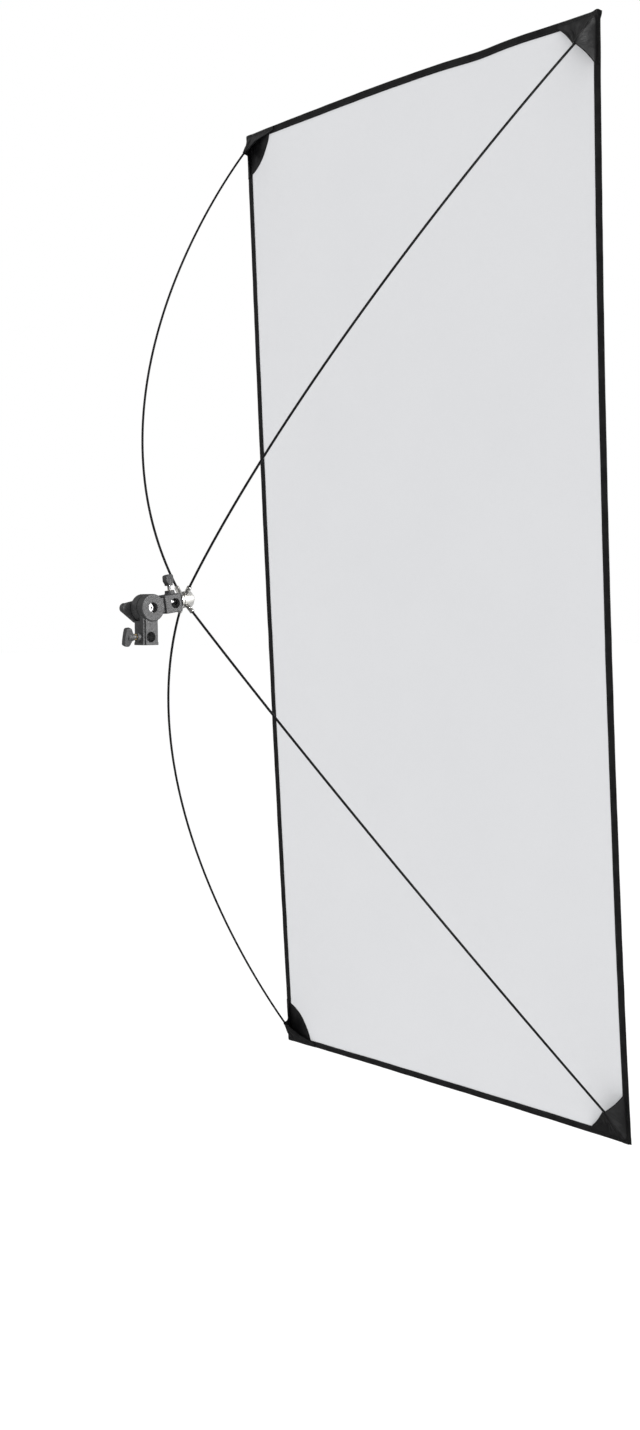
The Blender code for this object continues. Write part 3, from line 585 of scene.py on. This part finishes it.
def end_tape_point(level, s, inward, lift):
    """A point of the top or bottom tape, which wraps the side tapes at the corners."""
    t = level * (1 - inward / HALF_HEIGHT)
    tip = near_side(s, TAPE_OVERLAP, 0)
    puff = 1.0 if level > 0 and s < 0 else 0.15
    outer = 1 - inward / HEM_WIDTH
    y = s * (HALF_WIDTH + 3.2 * MM * tip * puff * (1 - 0.85 * (1 - outer) ** 2))
    swell = 2.0 * MM * math.sin(math.pi * tip) * puff**2 - 2.5 * MM * tip**6 * puff
    z = level * (HALF_HEIGHT - inward + swell * outer)
    return Vector((bow(t) + ripple(y, z) + lift, y, z + edge_rise(s, level) + wave_up(s, level)))


def wrap_lift(s):
    """Extra height of the end tape where it passes over the side tape."""
    return 1.0 * MM * near_side(s, TAPE_OVERLAP, TAPE_OVERLAP - 4 * MM)


def pinched(s):
    """How far the end tape's two layers are pressed together, beyond the side tape's edge."""
    return near_side(s, 2.4 * MM, 0.3 * MM)


def add_tape(name, rows, seam_rows, station, axis):
    """A folded tape with a row of stitches on each face.

    station(row) gives the tape's inner and outer lift, its width, the stitches' lift, and a function
    that places a point by its distance inwards and its lift. The tape runs along an axis, by number.
    """
    count = len(tape_section(0, 0, 0))

    def place(row, column):
        inner, outer, width, _, at = station(row)
        inward, lift = tape_section(inner, outer, width)[column % count]
        if abs(lift) > inner:
            lift = math.copysign(max(inner + 0.1 * MM, pressed(inward / width, abs(lift))), lift)
        point = at(inward, lift)
        return point, (inward if lift > 0 else -inward, point[axis])

    mesh = grid_mesh(f"tape_{name}", rows, count, place, wrap=True, ends=True)
    tape = add_stand_in(f"tape_{name}", mesh, PANEL_FRAME, f"hem_{name}")
    lines = []
    for face in (-1, 1):
        line = []
        for row in seam_rows:
            _, _, width, lift, at = station(row)
            line.append(at(STITCH_LINE * width, face * lift))
        lines.append((line, face))
    seam = add_seam(f"seam_{name}", lines)


def add_side_tape(name, side):
    """Folded tape along a long edge."""
    rows = 360
    outer = 1.15 * MM
    stitch_lift = pressed(STITCH_LINE, outer) + THREAD_RADIUS

    def station(row):
        t = -1 + 2 * row / rows
        width = tape_width(t * HALF_HEIGHT, side)
        return TAPE_GAP, outer, width, stitch_lift, partial(side_tape_point, side, t)

    add_tape(name, rows, range(rows + 1), station, 2)


def add_end_tape(name, level):
    """Folded tape along the top or bottom edge, with more rows towards its ends."""
    rows = 260
    unsewn_rows = 22
    thick = 0.82 * MM
    narrow = 1.0 if level > 0 else 0.9

    def station(row):
        u = -1 + 2 * row / rows
        s = u + 0.94 * math.sin(math.pi * u) / math.pi
        raised = TAPE_GAP + wrap_lift(s)
        pinch = pinched(s)
        inner = raised * (1 - pinch) + 0.02 * MM
        outer = inner + thick * (1 - 0.5 * pinch)
        width = tape_width(s * HALF_WIDTH, level * 3) * narrow
        stitch_lift = pressed(STITCH_LINE, raised + thick) + THREAD_RADIUS
        return inner, outer, width, stitch_lift, partial(end_tape_point, level, s)

    add_tape(name, rows, range(unsewn_rows, rows + 1 - unsewn_rows), station, 1)


# ---- stitching

STITCH_LENGTH = 2.6 * MM
STITCH_GAP = 0.5 * MM
THREAD_RADIUS = 0.19 * MM


def stitch(shape, start, end, outward):
    """One stitch: a short thread that dives at both ends."""
    along = (end - start).normalized()
    across = along.cross(outward).normalized()
    sides = 6
    wide = 1.25
    rings = []
    for share, size, sink in ((0.0, 0.35, 0.9), (0.2, 0.95, 0.1), (0.8, 0.95, 0.1), (1.0, 0.35, 0.9)):
        centre = start.lerp(end, share) - outward * THREAD_RADIUS * sink
        ring = []
        for step in range(sides):
            angle = math.tau * step / sides
            arm = across * math.cos(angle) * wide + outward * math.sin(angle)
            ring.append(shape.verts.new(centre + arm * THREAD_RADIUS * size))
        rings.append(ring)
    for lower, upper in zip(rings, rings[1:], strict=False):
        for step in range(sides):
            after = (step + 1) % sides
            shape.faces.new((lower[step], lower[after], upper[after], upper[step]))
    shape.faces.new(reversed(rings[0]))
    shape.faces.new(rings[-1])


def sew(shape, line, outward):
    """Stitches at an even pitch along a dense line of points, lying on its outward side."""
    pitch = STITCH_LENGTH + STITCH_GAP
    places = []
    for step in range(int(distances(line)[-1] / pitch)):
        places += [step * pitch, step * pitch + STITCH_LENGTH]
    ends = points_at(line, places)
    for start, end in zip(ends[::2], ends[1::2], strict=True):
        stitch(shape, start, end, outward)


def add_seam(name, lines):
    """Rows of stitches, each a dense line of points and the side that it lies on."""
    shape = bmesh.new()
    for line, outward in lines:
        sew(shape, line, Vector((outward, 0, 0)))
    return add_piece(name, closed_mesh(name, shape), "thread", "head", PANEL_FRAME)


# ---- rods

ROD_RADIUS = 2.0 * MM
ROD_START = 12 * MM
ROD_HANDLE = 503 * MM
ROD_SPREAD = math.radians(48)
ROD_RAKE = math.radians(5.15)
ROD_END_INSET_ACROSS = 15.6 * MM
ROD_END_INSET_UP = 23 * MM
ROD_END_LIFT = 7.8 * MM
ROD_POINTS = 221


def rod_curve(side, level):
    """Evenly spaced points of a rod's sprung curve, in the panel's frame."""
    flat = math.cos(ROD_RAKE)
    across = side * flat * math.cos(ROD_SPREAD)
    up = level * flat * math.sin(ROD_SPREAD)
    direction = HUB_TO_PANEL.to_3x3() @ Vector((math.sin(ROD_RAKE), across, up))
    start = HUB_TO_PANEL.to_translation() + ROD_START * direction
    handle = start + ROD_HANDLE * direction
    end_across = side * (HALF_WIDTH - ROD_END_INSET_ACROSS)
    end_up = level * (HALF_HEIGHT - ROD_END_INSET_UP)
    end = Vector((-ROD_END_LIFT, end_across, end_up))
    steps = 1200
    dense = []
    for step in range(steps + 1):
        t = step / steps
        rest = 1 - t
        dense.append(rest**3 * start + 3 * rest * rest * t * handle + (3 * rest + t) * t * t * end)
    return evenly(dense, ROD_POINTS)


def tube_mesh(name, points, radius, sides=16):
    """A closed round tube along points."""
    axes = []
    side_axis = (points[1] - points[0]).orthogonal().normalized()
    for index in range(len(points)):
        before = points[max(0, index - 1)]
        after = points[min(len(points) - 1, index + 1)]
        along = (after - before).normalized()
        side_axis = (side_axis - side_axis.dot(along) * along).normalized()
        axes.append((side_axis.copy(), along.cross(side_axis)))
    travelled = distances(points)

    def place(row, column):
        angle = math.tau * column / sides
        first, second = axes[row]
        point = points[row] + first * math.cos(angle) * radius + second * math.sin(angle) * radius
        return point, (angle * radius, travelled[row])

    return grid_mesh(name, len(points) - 1, sides, place, wrap=True, ends=True)


def frame_at(point, along):
    """A frame at a point with Z along a direction."""
    return Matrix.Translation(point) @ along.to_track_quat("Z", "Y").to_matrix().to_4x4()


def add_rod(place, points):
    """A sprung rod."""
    mesh = tube_mesh(f"sprung_rod_{place}", points, ROD_RADIUS)
    add_stand_in(f"sprung_rod_{place}", mesh, PANEL_FRAME, f"rod_{place}")


def add_socket(place, points):
    """The grooved ferrule that holds a rod's end in the hub."""
    home = PANEL_FRAME @ frame_at(points[0], points[1] - points[0])
    profile = [(2.15, -2.0), (4.0, -2.0), (4.0, 8.6), (3.72, 9.0), (3.72, 9.9), (4.0, 10.3)]
    profile += [(4.0, 14.6), (3.2, 15.5), (2.15, 15.5)]
    add_turned(f"socket_{place}", profile, 0.25, home, f"ferrule_{place}", 48)


def add_nose(place, points):
    """The rubber tip on a rod's end, with a round nose."""
    home = PANEL_FRAME @ frame_at(points[-1], points[-1] - points[-2])
    radius = 3.6 * MM
    shoulder = 0.7 * MM
    profile = [(0, 0.3 * MM), (2.1 * MM, 0.3 * MM), (2.1 * MM, -11 * MM), (3.2 * MM, -11 * MM)]
    profile += [(radius, -10.4 * MM), (radius, shoulder)]
    for step in range(1, 9):
        angle = math.pi / 2 * step / 9
        profile.append((radius * math.cos(angle), shoulder + radius * math.sin(angle)))
    profile.append((0, shoulder + radius))
    add_stand_in(f"nose_{place}", turned(f"nose_{place}", profile, 36), home, f"rod_tip_{place}")


# ---- corner pockets

# For each corner: the sewn legs along the end and the side, how far the patch's free edge bellies
# out, how far up the rod the mouth sits, and how deeply its edges hang back towards the corner.
POCKETS = {
    "top_left": (84 * MM, 81 * MM, 11 * MM, 22 * MM, 0.36),
    "top_right": (87 * MM, 80 * MM, 1.5 * MM, 41 * MM, 0.04),
    "bottom_left": (84 * MM, 84 * MM, 12 * MM, 26 * MM, 0.30),
    "bottom_right": (88 * MM, 84 * MM, 1.5 * MM, 49 * MM, 0.04),
}

NYLON_THICKNESS = 0.45 * MM
PATCH_LIFT = 0.32 * MM
TENT_LIFT = 0.95 * MM
TENT_ROWS = 44
TENT_COLUMNS = 84


class Corner:
    """A corner of the panel, with distances across, along the side and off the cloth."""

    def __init__(self, side, level, points):
        self.side = side
        self.level = level
        self.rod = points

    def point(self, across, down, lift):
        """A point from the corner: inwards along the end edge, along the side edge, towards the hub."""
        t = self.level * (1 - down / HALF_HEIGHT)
        y = self.side * (HALF_WIDTH - across)
        z = self.level * (HALF_HEIGHT - down)
        edge = (HALF_WIDTH - half_width(t)) * smooth_step(60 * MM, 0, across)
        s = y / HALF_WIDTH
        rise = edge_rise(s, t) + wave_up(s, t)
        x = bow(t) + ripple(y, z) - lift
        return Vector((x, y - self.side * edge, z + rise))

    def local(self, point):
        """Across, along and lift of a point in the panel's frame, over the flat corner."""
        return Vector((HALF_WIDTH - self.side * point.y, HALF_HEIGHT - self.level * point.z, -point.x))


def rod_point(points, distance):
    """A point on the rod at a distance from its end, and the direction back towards the hub."""
    walked = 0.0
    for index in range(len(points) - 1, 0, -1):
        step = (points[index] - points[index - 1]).length
        if walked + step >= distance:
            share = (distance - walked) / step
            here = points[index].lerp(points[index - 1], share)
            return here, (points[index - 1] - points[index]).normalized()
        walked += step
    return points[0], (points[0] - points[1]).normalized()


def clear_of_rod(point, rod, outward):
    """The point, moved off the rod and its nose where it lies too near their middle line."""
    nose = rod[-1] + (rod[-1] - rod[-2]).normalized() * 3.5 * MM
    line = rod[-24:] + [nose]
    travelled = distances(line)
    gap = math.inf
    for before, after, walked in zip(line, line[1:], travelled, strict=False):
        step = after - before
        share = min(1.0, max(0.0, (point - before).dot(step) / step.length_squared))
        spot = before + step * share
        if (point - spot).length < gap:
            gap = (point - spot).length
            nearest = spot
            from_tip = travelled[-1] - walked - share * step.length
    need = 2.75 * MM + 1.75 * MM * smooth_step(17 * MM, 13.5 * MM, from_tip)
    if gap >= need:
        return point
    away = point - nearest
    if away.dot(outward) < 0.2 * away.length:
        away = away - away.dot(outward) * outward + outward * 0.2 * need
    return nearest + away.normalized() * need


def cover(across, down):
    """Height of whatever lies under the patch: the cloth, the tapes and the tapes' overlap."""
    tapes = 0.30 * MM + 0.90 * MM * (1 - smooth_step(12 * MM, 17 * MM, min(across, down)))
    overlap = (1 - smooth_step(12.5 * MM, 18 * MM, across)) * (1 - smooth_step(11 * MM, 16 * MM, down))
    return tapes + 1.05 * MM * overlap


def add_patch(place, corner):
    """Flat patch sewn over the corner, under the pocket."""
    leg_a, leg_b, belly, _, _ = POCKETS[place]
    rows = 34
    columns = 56
    inset = 0.6 * MM

    def spot(row, column):
        share = column / columns
        far = Vector((leg_a + 2 * MM, inset)).lerp(Vector((inset, leg_b + 2 * MM)), share)
        out = Vector((leg_b, leg_a)).normalized()
        bulge = belly * math.sin(math.pi * share**1.35) ** 1.3
        bulge -= 0.35 * belly * math.exp(-(((share - 0.14) / 0.09) ** 2))
        far += out * (bulge + 0.5 * MM * wander(share * 6, belly * 900))
        near = Vector((inset, inset))
        return near.lerp(far, 0.02 + 0.98 * row / rows)

    def layer(row, column):
        across, down = spot(row, column)
        return corner.point(across, down, cover(across, down) + PATCH_LIFT), (across, down)

    mesh = grid_mesh(f"patch_{place}", rows, columns, layer)
    patch = add_piece(f"patch_{place}", mesh, "nylon", "head", PANEL_FRAME)
    thicken(patch, NYLON_THICKNESS)
    stitch_lift = PATCH_LIFT + NYLON_THICKNESS / 2 + THREAD_RADIUS
    free = []
    for step in range(101):
        across, down = spot(rows * 0.955, columns * (0.10 + 0.80 * step / 100))
        free.append(corner.point(across, down, cover(across, down) + stitch_lift))
    seam = add_seam(f"patch_seam_{place}", [(free, -1)])


def bent(share, start, turn, end):
    """A point at a share of the way along two straight legs."""
    if share < 0.5:
        return start.lerp(turn, share * 2)
    return turn.lerp(end, share * 2 - 1)


def tent_surface(place, corner):
    """A function that gives the points of a pocket's front layer, by row and column.

    Row 0 is the mouth, drawn round the rod. The last row is the rim, beyond the sewn legs, which run
    from the end tape's mouth over the corner to the side tape's mouth.
    """
    leg_a, leg_b, _, reach, hang = POCKETS[place]
    side, level, rod = corner.side, corner.level, corner.rod
    mouth, back = rod_point(rod, reach)
    outward = Vector((-1, 0, 0))
    outward = (outward - outward.dot(back) * back).normalized()
    across_rod = back.cross(outward)
    if across_rod.y * side > 0:
        across_rod = -across_rod
    hug = 2.9 * MM
    heart = corner.point(13 * MM, 13 * MM, 5 * MM)
    middle = corner.point(34 * MM, 34 * MM, 0)
    flange = 0.86
    seam = (Vector((leg_a, 8 * MM)), Vector((6.5 * MM, 6.5 * MM)), Vector((8 * MM, leg_b)))
    rim = (Vector((leg_a, 1.2 * MM)), Vector((2.0 * MM, 2.0 * MM)), Vector((1.2 * MM, leg_b)))

    def on_panel(spot, extra):
        return corner.point(spot.x, spot.y, cover(spot.x, spot.y) + extra)

    def point_at(row, column):
        share = column / TENT_COLUMNS
        w = row / TENT_ROWS
        sewn = on_panel(bent(share, *seam), TENT_LIFT)
        if w > flange:
            return sewn.lerp(on_panel(bent(share, *rim), 0.85 * MM), (w - flange) / (1 - flange))
        w = w / flange
        angle = math.pi * smooth_step(0.0, 1.0, share)
        top = mouth + hug * (across_rod * math.cos(angle) + outward * math.sin(angle))
        point = top.lerp(sewn, w)
        slack = math.sin(math.pi * w)
        free_edge = abs(2 * share - 1)
        point = point.lerp(heart, hang * slack * smooth_step(0.25, 1.0, free_edge))
        belly = 0.05 * (sewn - top).length * slack * math.sin(math.pi * free_edge)
        point += (middle - point).normalized() * belly
        crease = 1.9 * MM * slack * wander(share * 11 + 5 * side, level * 2.5 + w * 0.8, w * 0.9)
        crease += 0.8 * MM * slack * wander(share * 27 + w * 2, w * 3.0, side + 2 * level)
        crease += 0.35 * MM * slack * wander(share * 60, w * 9.0, 3 * side + level)
        point += outward * crease * (1 - 0.75 * free_edge**4)
        spot = corner.local(point)
        floor = cover(spot.x, spot.y) + TENT_LIFT - bow(level * (1 - spot.y / HALF_HEIGHT))
        point.x -= max(0.0, floor - spot.z)
        return clear_of_rod(point, rod, outward)

    return point_at


def add_pocket(place, corner):
    """Pocket's front layer, drawn up over the rod like a tent, with its piped mouth open to the hub."""
    point_at = tent_surface(place, corner)

    def layer(row, column):
        point = point_at(row, column)
        local = corner.local(point)
        return point, (local.x + 0.4 * local.z, local.y - 0.4 * local.z)

    mesh = grid_mesh(f"tent_{place}", TENT_ROWS, TENT_COLUMNS, layer)
    tent = add_stand_in(f"tent_{place}", mesh, PANEL_FRAME, f"pocket_{place}")
    thicken(tent, NYLON_THICKNESS)

    edge = [point_at(row, 0) for row in range(TENT_ROWS, 0, -1)]
    edge += [point_at(0, column) for column in range(TENT_COLUMNS + 1)]
    edge += [point_at(row, TENT_COLUMNS) for row in range(1, TENT_ROWS + 1)]
    mesh = tube_mesh(f"mouth_edge_{place}", evenly(edge, 160), 0.7 * MM, 8)
    piping = add_piece(f"mouth_edge_{place}", mesh, "binding", "head", PANEL_FRAME)
    lines = []
    steps = 160
    for share in (0.90, 0.96):
        line = [point_at(TENT_ROWS * share, TENT_COLUMNS * step / steps) for step in range(steps + 1)]
        for point in line:
            point.x -= NYLON_THICKNESS / 2 + THREAD_RADIUS
        lines.append((line, -1))
    seam = add_seam(f"tent_seam_{place}", lines)


# ---- hub


def drilled(blank, home, cutters):
    """The blank, a mesh at its place, with each cutter, a mesh and its place, taken out of it."""
    obj = add_object(blank.name, blank)
    obj.matrix_world = home
    tools = []
    for mesh, place in cutters:
        tool = add_object(mesh.name, mesh)
        tool.matrix_world = place
        tools.append(tool)
        cut = obj.modifiers.new("cut", "BOOLEAN")
        cut.operation = "DIFFERENCE"
        cut.solver = "EXACT"
        cut.object = tool
    bpy.context.view_layer.update()
    mesh = bake_modifiers(obj)
    for scratch in (obj, *tools):
        bpy.data.objects.remove(scratch)
    shade(mesh, CREASE)
    return mesh


def add_hub(rods):
    """Turned hub, drilled for its four rods."""
    back = -9.7
    front = 12.5
    radius = 13.0
    neck = radius - 0.7
    profile = [(0, back), (radius, back), (radius, back + 3.4), (neck, back + 3.9)]
    profile += [(neck, back + 4.9), (radius, back + 5.4), (radius, front), (0, front)]
    cutters = []
    for place, points in rods.items():
        bore = turned(f"bore_{place}", in_metres([(0, -2.6), (4.25, -2.6), (4.25, 30), (0, 30)]), 48)
        cutters.append((bore, PANEL_FRAME @ frame_at(points[0], points[1] - points[0])))
    blank = turned("hub", eased(in_metres(profile), 0.7 * MM), 96)
    add_stand_in("hub", drilled(blank, HUB_ALONG, cutters), HUB_ALONG, "hub_body")


def add_hub_fittings():
    """The hub's spigot, washer and cap."""
    profile = [(0, -33.5), (4.4, -33.5), (5.0, -32.9), (5.0, -9.9), (0, -9.9)]
    add_turned("spigot", profile, 0.15, HUB_ALONG, "hub_spigot")
    add_ring("hub_shim", (5.35, 9.0), (-11.5, -10.0), 0.2, HUB_ALONG, "hub_washer")
    profile = [(0, 12.8), (9.5, 12.8), (9.5, 15.0), (8.4, 16.0), (4.4, 16.0), (4.0, 14.4), (0, 14.4)]
    add_turned("hub_end", profile, 0.3, HUB_ALONG, "hub_cap")


# ---- turned fixings

SCREW_RADIUS = 3.0 * MM
SCREW_TIP_RADIUS = 2.2 * MM
SCREW_TIP_LENGTH = 1.4 * MM
THREAD_DEPTH = 0.46 * MM
THREAD_PITCH = 1.0 * MM


def in_metres(profile):
    """An outline that was given in millimetres."""
    return [(radius * MM, height * MM) for radius, height in profile]


def add_turned(name, profile, rounding, home, node, steps=72):
    """A turned piece in place of a CAD node; its distances are in millimetres."""
    mesh = turned(name, eased(in_metres(profile), rounding * MM), steps)
    add_stand_in(name, mesh, home, node)


def add_ring(name, radii, heights, rounding, home, node):
    """A washer or bush between two radii and two heights, in millimetres."""
    inner, outer = radii
    low, high = heights
    profile = [(inner, low), (outer, low), (outer, high), (inner, high)]
    add_turned(name, profile, rounding, home, node)


def add_screw(name, low, high, home, node):
    """A screw with one helical groove, from its tapered tip to the knob."""
    steps = 40
    per_turn = 8
    rows = int((high - low) / THREAD_PITCH * per_turn)

    def place(row, column):
        height = low + (high - low) * row / rows
        turn = column / steps
        phase = ((height / THREAD_PITCH - turn) % 1.0) * 2 - 1
        radius = SCREW_RADIUS - THREAD_DEPTH + THREAD_DEPTH * (1 - abs(phase)) ** 0.8
        tapered = (height - low) / SCREW_TIP_LENGTH
        if tapered < 1:
            radius = min(radius, SCREW_TIP_RADIUS + (SCREW_RADIUS - SCREW_TIP_RADIUS) * tapered)
        angle = math.tau * turn
        return Vector((radius * math.cos(angle), radius * math.sin(angle), height)), (turn, height)

    mesh = grid_mesh(name, rows, steps, place, wrap=True, ends=True, angle=75)
    add_stand_in(name, mesh, home, node)


def node_middle(node):
    """The middle of a CAD node's box."""
    obj = frame["nodes"][node]
    corners = [obj.matrix_world @ Vector(corner) for corner in obj.bound_box]
    return sum(corners, Vector()) / 8


def add_bolt(home):
    """The tilt bolt, with a hexagonal socket in its head."""
    profile = [(0, -27.0), (3.6, -27.0), (4.0, -26.6), (4.0, 4.8), (7.4, 4.8), (7.4, 7.9)]
    profile += [(6.9, 8.4), (3.0, 8.4), (0, 8.4)]
    blank = turned("pivot_bolt", eased(in_metres(profile), 0.35 * MM), 72)
    socket = turned("bolt_socket", in_metres([(0, 6.1), (2.9, 6.1), (2.9, 12), (0, 12)]), 6)
    turn = Matrix.Rotation(math.radians(30), 4, "Z")
    add_stand_in("pivot_bolt", drilled(blank, Matrix(), [(socket, turn)]), home, "tilt_bolt")


def add_fixings():
    """Inserts, washers, bolt and screws of the bracket and the arm."""
    lock = Matrix.Translation((0, 0, 13 * MM)) @ Matrix.Rotation(math.radians(-90), 4, "Y")
    thumb = ARM_FRAME @ Matrix.Translation((44.4 * MM, 0, 0))
    towards_near = Matrix.Rotation(math.radians(90), 4, "X")
    far = Matrix.Translation(PIVOT) @ Matrix.Rotation(math.radians(-90), 4, "X")
    discs = Matrix.Translation(node_middle("friction_washer")) @ towards_near
    add_ring("lock_bush", (3.35, 4.8), (17.3, 19.9), 0.2, lock, "lock_insert")
    add_ring("arm_bush", (3.35, 4.8), (18.3, 20.9), 0.2, thumb, "arm_insert")
    add_ring("lever_shim", (4.35, 9.0), (17.8, 18.6), 0.15, far, "lever_washer")
    add_ring("lever_bush", (4.35, 7.0), (18.9, 22.9), 0.2, far, "lever_insert")
    add_ring("friction_shim", (4.35, 19.9), (-0.6, 0.6), 0.15, discs, "friction_washer")
    add_bolt(Matrix.Translation(PIVOT) @ towards_near)
    add_screw("lock_thread", 8.7 * MM, 35.1 * MM, lock, "lock_screw")
    add_screw("thumb_thread", 8.5 * MM, 38.1 * MM, thumb, "thumb_screw")


# ---- moulded parts


def moulded(name, node, home, voxel):
    """The CAD solid with the soft edges and the slightly uneven faces of a moulding."""
    source = frame["nodes"][node].data.copy()
    source.transform(home.inverted())
    obj = add_object(name, source)
    weld = obj.modifiers.new("weld", "WELD")
    weld.merge_threshold = 0.002 * MM
    remesh = obj.modifiers.new("remesh", "REMESH")
    remesh.mode = "VOXEL"
    remesh.voxel_size = voxel
    remesh.adaptivity = 0.0
    ease = obj.modifiers.new("ease", "SMOOTH")
    ease.factor = 0.5
    ease.iterations = 6
    mesh = bake_modifiers(obj)
    bpy.data.objects.remove(obj)
    mesh.name = name
    mesh.shade_smooth()
    add_stand_in(name, mesh, home, node)


# ---- studio


def add_glow(tree, side, low, high, dim, bright):
    """A value that rises from dim to bright as the view turns towards a side of the world."""
    where = tree.nodes.new("ShaderNodeTexCoord")
    toward = tree.nodes.new("ShaderNodeVectorMath")
    toward.operation = "DOT_PRODUCT"
    toward.inputs[1].default_value = Vector(side).normalized()
    tree.links.new(where.outputs["Generated"], toward.inputs[0])
    glow = tree.nodes.new("ShaderNodeMapRange")
    glow.interpolation_type = "SMOOTHSTEP"
    limits = {"From Min": low, "From Max": high, "To Min": dim, "To Max": bright}
    for socket, value in limits.items():
        glow.inputs[socket].default_value = value
    tree.links.new(toward.outputs["Value"], glow.inputs["Value"])
    return glow.outputs["Result"]


def add_world():
    """Diffuse light from all round, and two bright sides of a dim room for what shines to reflect."""
    world = bpy.data.worlds.new("studio")
    bpy.context.scene.world = world
    world.use_nodes = True
    tree = world.node_tree
    background = tree.nodes["Background"]
    background.inputs["Color"].default_value = (1, 1, 1, 1)
    near = add_glow(tree, (0.55, -0.83, 0.05), 0.35, 0.92, 0.16, 1.15)
    far = add_glow(tree, (-0.55, 0.70, 0.45), 0.62, 0.98, 0.0, 0.55)
    both = tree.nodes.new("ShaderNodeMath")
    both.operation = "ADD"
    tree.links.new(near, both.inputs[0])
    tree.links.new(far, both.inputs[1])
    path = tree.nodes.new("ShaderNodeLightPath")
    choice = tree.nodes.new("ShaderNodeMix")
    tree.links.new(path.outputs["Is Glossy Ray"], choice.inputs["Factor"])
    choice.inputs["A"].default_value = 1.0
    tree.links.new(both.outputs["Value"], choice.inputs["B"])
    tree.links.new(choice.outputs["Result"], background.inputs["Strength"])


def add_floor():
    """A pale floor that reflections don't show."""
    size = 40.0
    depth = -1.25
    corners = [(-size, -size, depth), (size, -size, depth), (size, size, depth), (-size, size, depth)]
    mesh = bpy.data.meshes.new("floor")
    mesh.from_pydata(corners, [], [(0, 1, 2, 3)])
    floor = add_object("floor", mesh)
    finish = Finish("pale_floor", 0.9, Emission_Color=(1, 1, 1, 1), Emission_Strength=0.10)
    finish.colour(finish.between(finish.noise(0.6, 2), (0.95, 0.95, 0.95), (0.97, 0.97, 0.97)))
    mesh.materials.append(finish.material)
    floor.visible_glossy = False


def add_lights():
    """A wide soft light and a narrow one, both on the bracket's side of the panel."""
    key = bpy.data.lights.new("key", "AREA")
    key.shape = "RECTANGLE"
    key.size = 2.0
    key.size_y = 2.6
    key.energy = 32
    place_light(key, (1.6, -3.2, 1.2))

    gridded = bpy.data.lights.new("gridded", "SPOT")
    gridded.spot_size = math.radians(17)
    gridded.spot_blend = 0.8
    gridded.shadow_soft_size = 0.6
    gridded.energy = 1300
    place_light(gridded, (1.3, -3.1, 0.75))


def place_light(light, location):
    """A light that the camera doesn't see, aimed at the bracket."""
    bracket = Vector((0, 0, 0.05))
    obj = add_object(light.name, light)
    obj.location = location
    obj.rotation_mode = "QUATERNION"
    obj.rotation_quaternion = (bracket - obj.location).to_track_quat("-Z", "Y")
    obj.visible_camera = False


def add_camera():
    """The photograph's viewpoint."""
    data = bpy.data.cameras.new("camera")
    data.lens = 42.8
    data.sensor_width = 36
    data.clip_end = 200
    camera = add_object("camera", data)
    right = Vector((0.7713, -0.6364, -0.0080)).normalized()
    forward = Vector((0.6346, 0.7700, -0.0655)).normalized()
    up = right.cross(forward).normalized()
    right = forward.cross(up).normalized()
    turn = Matrix((right, up, -forward)).transposed().to_4x4()
    camera.matrix_world = Matrix.Translation((-1.492, -2.238, 0.0632)) @ turn
    bpy.context.scene.camera = camera


# ---- assembly


def build():
    """Every piece, from the panel to the bracket."""
    add_cloth()
    for name, side in SIDES.items():
        add_side_tape(name, side)
    for name, level in LEVELS.items():
        add_end_tape(name, level)
    rods = {}
    for level_name, level in LEVELS.items():
        for side_name, side in SIDES.items():
            place = f"{level_name}_{side_name}"
            rods[place] = rod_curve(side, level)
            corner = Corner(side, level, rods[place])
            add_rod(place, rods[place])
            add_socket(place, rods[place])
            add_nose(place, rods[place])
            add_patch(place, corner)
            add_pocket(place, corner)
    add_hub(rods)
    add_hub_fittings()
    add_fixings()
    bracket = Matrix.Translation(PIVOT)
    moulded("bracket", "bracket_body", bracket, 0.35 * MM)
    moulded("arm", "arm_body", ARM_FRAME, 0.35 * MM)
    moulded("lever", "tilt_lever", bracket, 0.35 * MM)
    moulded("lock_wing", "lock_knob", bracket, 0.3 * MM)
    moulded("thumb_wing", "thumb_knob", ARM_FRAME, 0.3 * MM)


add_camera()
add_world()
add_floor()
add_lights()
build()

bpy.context.scene.view_settings.view_transform = "Standard"
